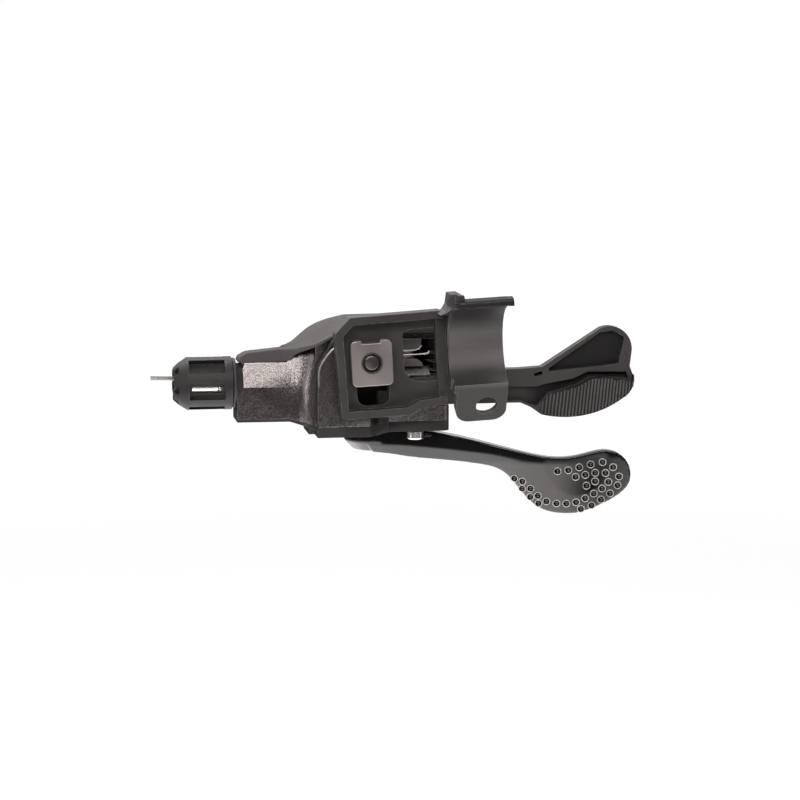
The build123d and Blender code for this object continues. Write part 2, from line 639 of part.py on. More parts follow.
# Housing: round case over the axle, mounting boss, front right corner and cable neck
with BuildPart() as housing:
    with BuildSketch(Plane.XY.offset(SEAM_Z)) as case_plan:
        with Locations((AXLE_X, AXLE_Y)):
            Circle(BODY_R)
        with BuildLine():
            Polyline(*BOSS_POINTS, close=True)
        make_face()
        with Locations(((CORNER_LEFT + CORNER_RIGHT) / 2, (CORNER_FRONT + CORNER_BACK) / 2)):
            Rectangle(CORNER_RIGHT - CORNER_LEFT, CORNER_BACK - CORNER_FRONT)
        fillet(case_plan.vertices().group_by(Axis.X)[-1], radius=CORNER_ROUND)
    extrude(amount=ROOF_Z - SEAM_Z)
    # neck: straight lower wall, then an upper wall that leans back to the cover strip
    for level, height, lean in (
        (SEAM_Z, NECK_EDGE_Z - SEAM_Z, 0),
        (NECK_EDGE_Z, ROOF_Z - NECK_EDGE_Z, NECK_TAPER),
    ):
        with BuildSketch(Plane.XY.offset(level)):
            with BuildLine():
                neck_front = Line((NECK_END, NECK_FRONT), (BOSS_LEFT - COVE_R, NECK_ROOT_FRONT))
                cove_end = (BOSS_LEFT, NECK_ROOT_FRONT - COVE_R)
                cove = RadiusArc(neck_front @ 1, cove_end, COVE_R)
                Polyline(
                    cove @ 1,
                    (NECK_INSIDE, NECK_ROOT_FRONT - COVE_R),
                    (NECK_INSIDE, NECK_BACK),
                    (NECK_END, NECK_BACK),
                    neck_front @ 0,
                )
            make_face()
        extrude(amount=height, taper=lean)
    # neck floor steps up towards the adjuster
    with BuildSketch(Plane.XZ.offset(-DEPTH_NEAR)):
        with BuildLine():
            Polyline(
                (NECK_END - GAP, SEAM_Z - GAP),
                (NECK_END - GAP, NECK_FLOOR_Z),
                (NECK_FLOOR_BREAK, NECK_FLOOR_Z),
                (BOSS_LEFT, SEAM_Z),
                (BOSS_LEFT, SEAM_Z - GAP),
                close=True,
            )
        make_face()
    extrude(amount=DEPTH_NEAR - DEPTH_FAR, mode=Mode.SUBTRACT)
    # roof slope down to the neck
    with BuildSketch(Plane.XZ.offset(-DEPTH_NEAR)):
        with BuildLine():
            Polyline(
                (NECK_END - GAP, NECK_TOP_Z),
                *ROOF_SLOPE,
                (ROOF_SLOPE[-1][0], ROOF_Z + GAP),
                (NECK_END - GAP, ROOF_Z + GAP),
                close=True,
            )
        make_face()
    extrude(amount=DEPTH_NEAR - DEPTH_FAR, mode=Mode.SUBTRACT)
    # leaning corner of the boss and its undercut foot
    with BuildSketch(Plane.XZ.offset(-BOSS_FRONT)):
        with BuildLine():
            Polyline(*BOSS_LEAN, close=True)
        make_face()
    extrude(amount=-BOSS_LEAN_DEPTH, mode=Mode.SUBTRACT)
    with BuildSketch(Plane.XY.offset(SEAM_Z)):
        with BuildLine():
            Polyline(*BOSS_UNDERCUT, close=True)
        make_face()
    extrude(amount=BOSS_UNDERCUT_TOP - SEAM_Z, mode=Mode.SUBTRACT)
    # pocket behind the bracket slot
    with BuildSketch(BAR_FACE.offset(-BOSS_FRONT)):
        with Locations((SLOT_U, (SLOT_LOW + NUT_W - BOLT_POCKET_DROP - FRAME_RIM) / 2)):
            RectangleRounded(SLOT_WIDTH, NUT_W - BOLT_POCKET_DROP - SLOT_LOW, SLOT_CORNER)
    extrude(amount=BOSS_FRONT - BOSS_POCKET_Y, mode=Mode.SUBTRACT)
    # case cavity, open downwards
    with BuildSketch(Plane.XY.offset(SEAM_Z)):
        with Locations((AXLE_X, AXLE_Y)):
            Circle(CAVITY_R)
    extrude(amount=CAVITY_TOP - SEAM_Z, mode=Mode.SUBTRACT)
    # axle seat in the roof
    with BuildSketch(Plane.XY.offset(CAVITY_TOP)):
        with Locations((AXLE_X, AXLE_Y)):
            Circle(AXLE_R + SLIP)
    extrude(amount=ROOF_Z - CAVITY_TOP, mode=Mode.SUBTRACT)
    # bolt hole
    with BuildSketch(BOLT_PLANE):
        Circle(BOLT_R + SLIP)
    extrude(amount=BOLT_ROOT_Y - BOSS_FRONT, mode=Mode.SUBTRACT)
    # release notch and window pocket
    with BuildSketch(Plane.XY.offset(NOTCH_LOW)):
        with Locations(((NOTCH_LEFT + CORNER_RIGHT) / 2, (CORNER_FRONT + NOTCH_BACK) / 2)):
            Rectangle(CORNER_RIGHT - NOTCH_LEFT + GAP, NOTCH_BACK - CORNER_FRONT + GAP)
    extrude(amount=NOTCH_HIGH - NOTCH_LOW, mode=Mode.SUBTRACT)
    with BuildSketch(Plane.XY.offset(POCKET_LOW)):
        with Locations(((POCKET_LEFT + POCKET_RIGHT) / 2, (CORNER_FRONT + POCKET_BACK) / 2 - GAP)):
            Rectangle(POCKET_RIGHT - POCKET_LEFT, POCKET_BACK - CORNER_FRONT + GAP)
        with Locations((AXLE_X, AXLE_Y)):
            Circle(POCKET_WALL_R, mode=Mode.SUBTRACT)
    extrude(amount=POCKET_HIGH - POCKET_LOW, mode=Mode.SUBTRACT)
    with BuildSketch(Plane.XY.offset(RELEASE_PIN_LOW)):
        with Locations((RELEASE_X, RELEASE_Y)):
            Circle(RELEASE_PIN_R + SLIP)
    extrude(amount=RELEASE_PIN_HIGH - RELEASE_PIN_LOW, mode=Mode.SUBTRACT)
    # threaded bore of the adjuster, which runs through to the case
    with BuildSketch(cable_plane(AXLE_X)):
        Circle(TUBE_R + RUN)
    extrude(amount=AXLE_X - NECK_END, mode=Mode.SUBTRACT)
housing.part.label = "housing"
export_step(housing.part, "parts/housing.step")

# Top cover: long strip over the neck rising to the crown over the case
with BuildPart() as top_cover:
    with BuildSketch(Plane.XZ.offset(-DEPTH_NEAR)):
        with BuildLine():
            Polyline(
                (COVER_TOP_POINTS[-1][0], NECK_TOP_Z),
                *ROOF_SLOPE,
                (COVER_TOP_POINTS[0][0], ROOF_Z),
                *COVER_TOP_POINTS[:-1],
                close=True,
            )
        make_face()
    extrude(amount=DEPTH_NEAR - DEPTH_FAR)
    with BuildSketch(Plane.XY.offset(NECK_TOP_Z)):
        with BuildLine():
            Polyline(*COVER_PLAN, close=True)
        make_face()
        with Locations((AXLE_X, AXLE_Y)):
            Circle(COVER_R)
    extrude(amount=ROOF_Z - NECK_TOP_Z + DEPTH_NEAR, mode=Mode.INTERSECT)
top_cover.part.label = "top_cover"
export_step(top_cover.part, "parts/top_cover.step")

# Bottom cover: thick plate under the case, thin strip under the neck
with BuildPart() as bottom_cover:
    with BuildSketch(Plane.XZ.offset(-DEPTH_NEAR)):
        with BuildLine():
            Polyline(
                (NECK_END, NECK_FLOOR_Z),
                (NECK_FLOOR_BREAK, NECK_FLOOR_Z),
                (BOSS_LEFT, SEAM_Z),
                (BOSS_LEFT, SEAM_Z - STRIP_SLOPE_T),
                (NECK_FLOOR_BREAK, NECK_FLOOR_Z - STRIP_T),
                (NECK_END, NECK_FLOOR_Z - STRIP_T),
                close=True,
            )
        make_face()
    extrude(amount=DEPTH_NEAR - DEPTH_FAR)
    with BuildSketch(Plane.XY.offset(BOTTOM_Z)):
        with BuildLine():
            strip_front = Line((NECK_END, NECK_FRONT), (BOSS_LEFT - COVE_R, NECK_ROOT_FRONT))
            strip_cove = RadiusArc(strip_front @ 1, (BOSS_LEFT, NECK_ROOT_FRONT - COVE_R), COVE_R)
            Polyline(strip_cove @ 1, (BOSS_LEFT, NECK_BACK), (NECK_END, NECK_BACK), strip_front @ 0)
        make_face()
    extrude(amount=BOTTOM_T + DEPTH_NEAR, mode=Mode.INTERSECT)
    with BuildSketch(Plane.XY.offset(SEAM_Z)) as plate_plan:
        with Locations((AXLE_X, AXLE_Y)):
            Circle(BODY_R)
        with BuildLine():
            Polyline(*BOSS_POINTS, close=True)
        make_face()
        with BuildLine():
            Polyline(*BOSS_UNDERCUT, close=True)
        make_face(mode=Mode.SUBTRACT)
        with Locations(((CORNER_LEFT + CORNER_RIGHT) / 2, (CORNER_FRONT + CORNER_BACK) / 2)):
            Rectangle(CORNER_RIGHT - CORNER_LEFT, CORNER_BACK - CORNER_FRONT)
        with Locations(((BOTTOM_LEFT + BOSS_LEFT) / 2, (NECK_ROOT_FRONT + NECK_BACK) / 2)):
            Rectangle(BOSS_LEFT - BOTTOM_LEFT + SLIP, NECK_BACK - NECK_ROOT_FRONT)
        fillet(plate_plan.vertices().group_by(Axis.X)[-1], radius=CORNER_ROUND)
    extrude(amount=-BOTTOM_T)
    with BuildSketch(Plane.XY.offset(BOTTOM_Z)):
        with Locations((AXLE_X, AXLE_Y)):
            Circle(SLEEVE_HOLE_R)
    extrude(amount=BOTTOM_T, mode=Mode.SUBTRACT)
bottom_cover.part.label = "bottom_cover"
export_step(bottom_cover.part, "parts/bottom_cover.step")

# Steel stop that the main lever rests against
with BuildPart() as lever_stop_pin:
    with BuildSketch(Plane.XY.offset(BOTTOM_Z)):
        with Locations((STOP_X, STOP_Y)):
            Circle(STOP_R)
    extrude(amount=-STOP_DROP)
lever_stop_pin.part.label = "lever_stop_pin"
export_step(lever_stop_pin.part, "parts/lever_stop_pin.step")

# Main axle, hung from the roof
with BuildPart() as main_axle:
    with BuildSketch(Plane.XY.offset(AXLE_LOW)):
        with Locations((AXLE_X, AXLE_Y)):
            Circle(AXLE_R)
    extrude(amount=AXLE_TOP - AXLE_LOW)
main_axle.part.label = "main_axle"
export_step(main_axle.part, "parts/main_axle.step")

# Nut under the lever hub
with BuildPart() as axle_nut:
    with BuildSketch(Plane.XY.offset(HUB_POCKET_TOP - GAP)):
        with Locations((AXLE_X, AXLE_Y)):
            RegularPolygon(AXLE_NUT_AF_R, 6)
            Circle(AXLE_R + SLIP, mode=Mode.SUBTRACT)
    extrude(amount=-AXLE_NUT_T)
axle_nut.part.label = "axle_nut"
export_step(axle_nut.part, "parts/axle_nut.step")

# Pin for the release lever
with BuildPart() as release_pin:
    with BuildSketch(Plane.XY.offset(RELEASE_PIN_LOW)):
        with Locations((RELEASE_X, RELEASE_Y)):
            Circle(RELEASE_PIN_R)
    extrude(amount=RELEASE_PIN_HIGH - RELEASE_PIN_LOW)
release_pin.part.label = "release_pin"
export_step(release_pin.part, "parts/release_pin.step")

# Pin for the holding pawl, standing on the bottom cover
with BuildPart() as hold_pawl_pin:
    with BuildSketch(Plane.XY.offset(SEAM_Z)):
        with Locations(HOLD_PIN):
            Circle(PAWL_PIN_R)
    extrude(amount=PAWL_PIN_TOP - SEAM_Z)
hold_pawl_pin.part.label = "hold_pawl_pin"
export_step(hold_pawl_pin.part, "parts/hold_pawl_pin.step")



def height_at(line, along):
    """Height of a line drawn in the XZ plane at one place along the lever."""
    spots = [line @ (step / LINE_SAMPLES) for step in range(LINE_SAMPLES + 1)]
    return min(spots, key=lambda spot: abs(spot.X - along)).Z


crease_line = Spline(*[(x, 0, z) for x, z in CREASE_LINE])
low_line = Spline(*[(x, 0, z) for x, z in [*PADDLE_LOW_LINE, *LEVER_LOW_LINE, LEVER_HEEL]])

# Main lever: hub with a sleeve through the bottom cover, swept arm and broad paddle
with BuildPart() as main_lever:
    with BuildSketch(Plane.XY.offset(LEVER_BOX_LOW)):
        with BuildLine():
            lever_front = Spline(*LEVER_FRONT)
            lever_back = Spline(*LEVER_BACK)
            Line(lever_front @ 1, lever_back @ 0)
            Line(lever_back @ 1, lever_front @ 0)
        make_face()
    extrude(amount=BOTTOM_Z - LEVER_BOX_LOW)
    with BuildSketch(Plane.XZ.offset(-DEPTH_FAR)):
        with BuildLine():
            lever_top = Spline(*LEVER_TOP_LINE, *PADDLE_TOP_LINE, *PADDLE_LOW_LINE, *LEVER_LOW_LINE)
            Polyline(lever_top @ 1, LEVER_HEEL, lever_top @ 0)
        make_face()
    extrude(amount=DEPTH_FAR, mode=Mode.INTERSECT)
    for station in range(CREASE_STATIONS + 1):
        share = station / CREASE_STATIONS
        spot = lever_front @ share
        low = height_at(low_line, spot.X)
        rise = height_at(crease_line, spot.X) - low
        lean = CREASE_LEAN + share * (CREASE_FADE - CREASE_LEAN)
        with BuildSketch(Plane(origin=(spot.X, spot.Y, low), x_dir=(0, 1, 0), z_dir=(1, 0, 0))):
            with BuildLine():
                Polyline(
                    (-CREASE_OVER, rise + CREASE_OVER * rise / lean),
                    (-CREASE_OVER, -CREASE_UNDER),
                    (lean + CREASE_UNDER * lean / rise, -CREASE_UNDER),
                    close=True,
                )
            make_face()
    loft(mode=Mode.SUBTRACT)
    with Locations(DISH_CENTRE + DISH_NORMAL * (DISH_R - DISH_DEPTH)):
        Sphere(DISH_R, mode=Mode.SUBTRACT)
    with BuildSketch(Plane(origin=(AXLE_X, AXLE_Y, 0), x_dir=(1, 0, 0), z_dir=(0, -1, 0))):
        with BuildLine():
            Polyline(
                (0, HUB_LOW),
                (HUB_R - HUB_ROUND, HUB_LOW),
                (HUB_R, HUB_LOW + HUB_ROUND),
                (HUB_R, HUB_TOP),
                (SLEEVE_R, HUB_TOP),
                (SLEEVE_R, DRIVE_LOW + DRIVE_T),
                (0, DRIVE_LOW + DRIVE_T),
                close=True,
            )
        make_face()
    revolve(axis=Axis((AXLE_X, AXLE_Y, 0), (0, 0, 1)))
    with BuildSketch(Plane.XY.offset(HUB_LOW)):
        with Locations((AXLE_X, AXLE_Y)):
            Circle(HUB_POCKET_R)
    extrude(amount=HUB_POCKET_TOP - HUB_LOW, mode=Mode.SUBTRACT)
    with BuildSketch(Plane.XY.offset(HUB_LOW)):
        with Locations((AXLE_X, AXLE_Y)):
            Circle(AXLE_R + RUN)
    extrude(amount=DRIVE_LOW + DRIVE_T - HUB_LOW, mode=Mode.SUBTRACT)
main_lever.part.label = "main_lever"
export_step(main_lever.part, "parts/main_lever.step")

# Drive plate on the lever sleeve, carrying the feed pawl
with BuildPart() as drive_plate:
    with BuildSketch(Plane.XY.offset(DRIVE_LOW)):
        with Locations((AXLE_X, AXLE_Y)):
            RegularPolygon(SLEEVE_R + DRIVE_RING, DRIVE_SIDES)
        with Locations(FEED_PIN):
            RegularPolygon(PAWL_EYE_R + GAP, DRIVE_SIDES)
        make_hull()
        with Locations((AXLE_X, AXLE_Y)):
            Circle(SLEEVE_R + SLIP, mode=Mode.SUBTRACT)
    extrude(amount=DRIVE_T)
drive_plate.part.label = "drive_plate"
export_step(drive_plate.part, "parts/drive_plate.step")

# Pin of the feed pawl, standing on the drive plate
with BuildPart() as feed_pawl_pin:
    with BuildSketch(Plane.XY.offset(DRIVE_LOW + DRIVE_T)):
        with Locations(FEED_PIN):
            Circle(PAWL_PIN_R)
    extrude(amount=PAWL_PIN_TOP - DRIVE_LOW - DRIVE_T)
feed_pawl_pin.part.label = "feed_pawl_pin"
export_step(feed_pawl_pin.part, "parts/feed_pawl_pin.step")

# Feed pawl, swung clear of the ratchet
with BuildPart() as feed_pawl:
    with BuildSketch(pawl_plane(FEED_ANGLE, RATCHET_LOW)):
        with BuildLine():
            Polyline(*PAWL_POINTS, close=True)
        make_face()
        with Locations(PAWL_PIVOT):
            Circle(PAWL_EYE_R)
        with Locations(PAWL_PIVOT):
            Circle(PAWL_PIN_R + RUN, mode=Mode.SUBTRACT)
    extrude(amount=PAWL_T)
feed_pawl.part.label = "feed_pawl"
export_step(feed_pawl.part, "parts/feed_pawl.step")

# Holding pawl with a tail towards the release lever
with BuildPart() as holding_pawl:
    with BuildSketch(pawl_plane(HOLD_ANGLE, RATCHET_LOW)):
        with BuildLine():
            Polyline(*PAWL_POINTS, close=True)
        make_face()
        with BuildLine():
            Polyline(*PAWL_TAIL, close=True)
        make_face()
        with Locations(PAWL_PIVOT):
            Circle(PAWL_EYE_R)
        with Locations(PAWL_PIVOT):
            Circle(PAWL_PIN_R + RUN, mode=Mode.SUBTRACT)
    extrude(amount=PAWL_T)
holding_pawl.part.label = "holding_pawl"
export_step(holding_pawl.part, "parts/holding_pawl.step")

# Winder drum: cable groove between flanges with a flat for each gear step, and the cable head's nest
with BuildPart() as winder_drum:
    for level, top in ((FLANGE_LOW, CABLE_Z - GROOVE_HALF), (CABLE_Z + GROOVE_HALF, DRUM_TOP)):
        with BuildSketch(Plane.XY.offset(level)):
            with Locations((AXLE_X, AXLE_Y)):
                RegularPolygon(FLANGE_R, RATCHET_TEETH)
        extrude(amount=top - level)
    with BuildSketch(Plane.XY.offset(FLANGE_LOW)):
        with Locations((AXLE_X, AXLE_Y)):
            Circle(GROOVE_R)
    extrude(amount=DRUM_TOP - FLANGE_LOW)
    with BuildSketch(Plane.XY.offset(FLANGE_LOW)):
        with Locations((AXLE_X, AXLE_Y)):
            Circle(AXLE_R + RUN)
    extrude(amount=DRUM_TOP - FLANGE_LOW, mode=Mode.SUBTRACT)
    with BuildSketch(NEST_PLANE):
        Rectangle(2 * HEAD_R + SLIP, 2 * HEAD_R + SLIP)
    extrude(amount=FLANGE_R, mode=Mode.SUBTRACT)
winder_drum.part.label = "winder_drum"
export_step(winder_drum.part, "parts/winder_drum.step")

# Ratchet plate fixed under the drum, with saw teeth one gear step apart
RATCHET_POINTS = []
for tooth in range(RATCHET_TEETH):
    for radius, step in ((RATCHET_ROOT_R, 0), (RATCHET_TIP_R, 0), (RATCHET_TIP_R, RATCHET_LAND)):
        bearing = math.radians(tooth * STEP_ANGLE + step)
        RATCHET_POINTS.append((radius * math.cos(bearing), radius * math.sin(bearing)))
with BuildPart() as ratchet_plate:
    with BuildSketch(Plane.XY.offset(RATCHET_LOW)):
        with Locations((AXLE_X, AXLE_Y)):
            Polygon(*RATCHET_POINTS, align=None)
            Circle(AXLE_R + RUN, mode=Mode.SUBTRACT)
    extrude(amount=RATCHET_T)
ratchet_plate.part.label = "ratchet_plate"
export_step(ratchet_plate.part, "parts/ratchet_plate.step")

# Cable head in its nest and the wire lying in the groove
with BuildPart() as cable_end:
    with BuildSketch(NEST_PLANE):
        Circle(HEAD_R)
    extrude(amount=HEAD_L)
    with BuildLine() as wound:
        bends = [about_axle(0, -DRUM_R, bend * WOUND_BEND) for bend in range(WOUND_BENDS + 1)]
        Polyline(*[(*bend, CABLE_Z) for bend in bends])
    with BuildSketch(Plane(origin=wound.line @ 0, x_dir=(0, 0, 1), z_dir=wound.line % 0)):
        Circle(WIRE_R)
    sweep(path=wound.line, transition=Transition.RIGHT)
cable_end.part.label = "cable_end"
export_step(cable_end.part, "parts/cable_end.step")

# Straight run of the wire from the drum out through the adjuster
RUN_DIR = Vector(KNOB_LEFT - CABLE_STUB + CABLE_JOINT - AXLE_X, 0, CABLE_END_RISE)
with BuildPart() as cable_run:
    run_start = (AXLE_X - CABLE_JOINT, CABLE_Y, CABLE_Z)
    with BuildSketch(Plane(origin=run_start, x_dir=(0, 1, 0), z_dir=RUN_DIR)):
        Circle(WIRE_R)
    extrude(amount=RUN_DIR.length)
cable_run.part.label = "cable_run"
export_step(cable_run.part, "parts/cable_run.step")

# Return spring of the winder
with BuildPart() as winder_spring:
    with BuildLine() as winder_coil:
        Polyline(*coil_points(WINDER_SPRING_R, WINDER_SPRING_PITCH, WINDER_SPRING_TURNS, WINDER_COIL_FOOT))
    with BuildSketch(Plane(origin=winder_coil.line @ 0, x_dir=(1, 0, 0), z_dir=winder_coil.line % 0)):
        Rectangle(SPRING_WIRE, SPRING_WIRE)
    sweep(path=winder_coil.line, transition=Transition.RIGHT)
winder_spring.part.label = "winder_spring"
export_step(winder_spring.part, "parts/winder_spring.step")

# Return spring of the main lever
with BuildPart() as lever_spring:
    with BuildLine() as lever_coil:
        Polyline(*coil_points(LEVER_SPRING_R, LEVER_SPRING_PITCH, LEVER_SPRING_TURNS, LEVER_COIL_FOOT))
    with BuildSketch(Plane(origin=lever_coil.line @ 0, x_dir=(1, 0, 0), z_dir=lever_coil.line % 0)):
        Rectangle(LEVER_SPRING_WIRE, LEVER_SPRING_WIRE)
    sweep(path=lever_coil.line, transition=Transition.RIGHT)
lever_spring.part.label = "lever_spring"
export_step(lever_spring.part, "parts/lever_spring.step")

# Spring of the release lever, seen through the bracket window
with BuildPart() as release_spring:
    with BuildLine() as release_coil:
        Polyline(
            *coil_points(RELEASE_SPRING_R, RELEASE_SPRING_PITCH, RELEASE_SPRING_TURNS, RELEASE_COIL_FOOT)
        )
    with BuildSketch(Plane(origin=release_coil.line @ 0, x_dir=(1, 0, 0), z_dir=release_coil.line % 0)):
        Rectangle(RELEASE_SPRING_WIRE, RELEASE_SPRING_WIRE)
    sweep(path=release_coil.line, transition=Transition.RIGHT)
release_spring.part.label = "release_spring"
export_step(release_spring.part, "parts/release_spring.step")

# Release lever: hub, arm, dished wing and raised thumb pad
with BuildPart() as release_lever:
    with BuildSketch(Plane.XY.offset(LEVER_BOX_LOW)):
        with BuildLine():
            Polyline(*RELEASE_RIBBON, close=True)
        make_face()
    extrude(amount=DEPTH_FAR)
    with BuildSketch(Plane.XZ.offset(-DEPTH_NEAR)):
        with BuildLine():
            arm_top = Polyline(*RELEASE_ARM_TOP)
            wing = ThreePointArc(*RELEASE_WING)
            tip = ThreePointArc(*PAD_TIP)
            under = ThreePointArc(*PAD_UNDER)
            Line(arm_top @ 1, wing @ 0)
            Polyline(wing @ 1, RELEASE_WAIST, tip @ 0)
            Polyline(under @ 1, *RELEASE_ARM_UNDER, arm_top @ 0)
        make_face()
    extrude(amount=-DEPTH_FAR, mode=Mode.INTERSECT)
    with BuildSketch(Plane.XZ.offset(-WING_POCKET_FLOOR)) as wing_hollow:
        with BuildLine():
            Polyline(*WING_POCKET, close=True)
        make_face()
        fillet(wing_hollow.vertices(), radius=RELEASE_EDGE)
    extrude(amount=DEPTH_NEAR, mode=Mode.SUBTRACT)
    with BuildSketch(Plane.XZ.offset(-TRENCH_DEPTH)):
        with BuildLine():
            Polyline(*TRENCH, close=True)
        make_face()
        with Locations(ARM_SLOT):
            Rectangle(ARM_SLOT_L, ARM_SLOT_W, rotation=ARM_SLOT_TURN)
    extrude(amount=DEPTH_NEAR, mode=Mode.SUBTRACT)
    with BuildSketch(Plane.XY.offset(RELEASE_HUB_LOW)):
        with Locations((RELEASE_X, RELEASE_Y)):
            Circle(RELEASE_HUB_R)
        with BuildLine():
            Polyline(*[(RELEASE_X + x, RELEASE_Y + y) for x, y in RELEASE_CAM], close=True)
        make_face()
    extrude(amount=RELEASE_HUB_HIGH - RELEASE_HUB_LOW)
    with BuildSketch(Plane.XY.offset(RELEASE_HUB_LOW)):
        with Locations((RELEASE_X, RELEASE_Y)):
            Circle(RELEASE_PIN_R + RUN)
    extrude(amount=RELEASE_HUB_HIGH - RELEASE_HUB_LOW, mode=Mode.SUBTRACT)
release_lever.part.label = "release_lever"
export_step(release_lever.part, "parts/release_lever.step")

# Thumb pad of the release lever, a separate softer moulding
with BuildPart() as release_pad:
    with BuildSketch(Plane.XY.offset(LEVER_BOX_LOW)):
        with BuildLine():
            pad_front = ThreePointArc(*PAD_FRONT)
            Polyline(
                pad_front @ 1,
                (PAD_FRONT[-1][0], PAD_BACK),
                (PAD_FRONT[0][0], PAD_BACK),
                pad_front @ 0,
            )
        make_face()
        with BuildLine():
            Polyline(*RELEASE_RIBBON, close=True)
        make_face(mode=Mode.SUBTRACT)
    extrude(amount=DEPTH_FAR)
    with BuildSketch(Plane.XZ.offset(-DEPTH_NEAR)):
        with BuildLine():
            ledge = Polyline(*PAD_LEDGE)
            tip = ThreePointArc(*PAD_TIP)
            under = ThreePointArc(*PAD_UNDER)
            Line(ledge @ 1, tip @ 0)
            Line(under @ 1, ledge @ 0)
        make_face()
    extrude(amount=-DEPTH_FAR, mode=Mode.INTERSECT)
release_pad.part.label = "release_pad"
export_step(release_pad.part, "parts/release_pad.step")

# Adjuster tube, threaded in the neck
with BuildPart() as adjuster_tube:
    with BuildSketch(cable_plane(TUBE_RIGHT)):
        Circle(TUBE_R)
        Circle(TUBE_BORE_R, mode=Mode.SUBTRACT)
    extrude(amount=TUBE_RIGHT - TUBE_LEFT)
adjuster_tube.part.label = "adjuster_tube"
export_step(adjuster_tube.part, "parts/adjuster_tube.step")

# Adjuster knob: barrel with six pockets, three open slots and a notched nose
with BuildPart() as adjuster_knob:
    with BuildSketch(Plane.XZ):
        with BuildLine():
            Polyline(
                *[(KNOB_LEFT + along, radius) for along, radius in KNOB_PROFILE],
                (KNOB_RIGHT, KNOB_BORE_R),
                (KNOB_LEFT, KNOB_BORE_R),
                close=True,
            )
        make_face()
    revolve(axis=Axis.X)
    adjuster_knob.part = adjuster_knob.part.moved(Location((0, CABLE_Y, CABLE_Z)))
    for index in range(KNOB_POCKETS):
        turn = math.radians(KNOB_POCKET_TURN + index * 360 / KNOB_POCKETS)
        outward = Vector(0, -math.cos(turn), math.sin(turn))
        pocket_plane = Plane(origin=(KNOB_POCKET_X, CABLE_Y, CABLE_Z), x_dir=(1, 0, 0), z_dir=outward)
        with BuildSketch(pocket_plane.offset(KNOB_POCKET_R)):
            Rectangle(KNOB_POCKET_L, KNOB_POCKET_W)
        extrude(amount=KNOB_POCKET_R, mode=Mode.SUBTRACT)
        with BuildSketch(pocket_plane.offset(KNOB_BORE_R)):
            with Locations((KNOB_LEFT - KNOB_POCKET_X, 0)):
                Rectangle(2 * KNOB_NOTCH_D, KNOB_NOTCH_W)
        extrude(amount=KNOB_POCKET_R, mode=Mode.SUBTRACT)
    for index in range(KNOB_SLOTS):
        turn = math.radians(KNOB_POCKET_TURN + index * 360 / KNOB_SLOTS)
        outward = Vector(0, -math.cos(turn), math.sin(turn))
        slot_plane = Plane(origin=(KNOB_POCKET_X, CABLE_Y, CABLE_Z), x_dir=(1, 0, 0), z_dir=outward)
        with BuildSketch(slot_plane):
            Rectangle(KNOB_SLOT_L, KNOB_SLOT_W)
        extrude(amount=2 * KNOB_POCKET_R, mode=Mode.SUBTRACT)
adjuster_knob.part.label = "adjuster_knob"
export_step(adjuster_knob.part, "parts/adjuster_knob.step")
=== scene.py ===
"""Trigger gear shifter on a pale studio floor: finishes, small fittings, light and camera."""
import json
import math

import bmesh
import bpy
from mathutils import Matrix, Vector
from mathutils.bvhtree import BVHTree


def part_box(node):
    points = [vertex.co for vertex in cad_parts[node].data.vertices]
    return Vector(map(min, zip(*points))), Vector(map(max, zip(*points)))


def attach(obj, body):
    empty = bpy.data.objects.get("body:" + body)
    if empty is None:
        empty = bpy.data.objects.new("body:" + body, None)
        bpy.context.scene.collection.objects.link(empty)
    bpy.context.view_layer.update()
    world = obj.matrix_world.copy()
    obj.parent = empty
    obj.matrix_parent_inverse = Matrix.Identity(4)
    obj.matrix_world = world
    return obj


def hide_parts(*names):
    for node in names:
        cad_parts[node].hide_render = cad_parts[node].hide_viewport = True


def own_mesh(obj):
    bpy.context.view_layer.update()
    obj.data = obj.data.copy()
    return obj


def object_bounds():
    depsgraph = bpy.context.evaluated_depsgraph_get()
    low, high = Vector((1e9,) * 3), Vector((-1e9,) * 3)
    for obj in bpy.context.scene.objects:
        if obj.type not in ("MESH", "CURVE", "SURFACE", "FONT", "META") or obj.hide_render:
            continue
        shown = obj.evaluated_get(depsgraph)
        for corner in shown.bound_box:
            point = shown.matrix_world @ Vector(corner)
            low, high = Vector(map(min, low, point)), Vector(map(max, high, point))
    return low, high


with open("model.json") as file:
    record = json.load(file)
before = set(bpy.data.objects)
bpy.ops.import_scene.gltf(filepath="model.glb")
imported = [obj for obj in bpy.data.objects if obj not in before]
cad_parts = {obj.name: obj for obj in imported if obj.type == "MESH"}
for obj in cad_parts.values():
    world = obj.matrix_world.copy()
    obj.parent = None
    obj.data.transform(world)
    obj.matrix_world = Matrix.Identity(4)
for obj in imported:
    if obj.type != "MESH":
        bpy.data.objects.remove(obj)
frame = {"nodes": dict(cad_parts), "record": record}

cad_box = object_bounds()
scene = bpy.context.scene
scene.view_settings.view_transform = "Standard"

MM = 0.001
NODES = frame["nodes"]
BODY_OF = {
    node: body
    for body, members in frame["record"]["behaviour"]["bodies"].items()
    for node in members
}
SLOT_OF = {entry["node"]: entry["material_slot"] for entry in frame["record"]["subparts"]}


# Node trees

def add(tree, kind, inputs=None, **settings):
    """Adds a node and returns its outputs; an input takes a plain value or another node's output."""
    node = tree.nodes.new(kind)
    for label, value in settings.items():
        setattr(node, label, value)
    for socket, value in (inputs or {}).items():
        if isinstance(value, bpy.types.NodeSocket):
            tree.links.new(value, node.inputs[socket])
        else:
            node.inputs[socket].default_value = value
    return node.outputs


def span(tree, value, low, high, start=0.0, end=1.0):
    """A value stretched from one range to another."""
    limits = {"From Min": start, "From Max": end, "To Min": low, "To Max": high}
    return add(tree, "ShaderNodeMapRange", {"Value": value, **limits})["Result"]


def combined(tree, operation, first, *others):
    """Values taken together one after the other by one operation."""
    for other in others:
        first = add(tree, "ShaderNodeMath", {0: first, 1: other}, operation=operation)["Value"]
    return first


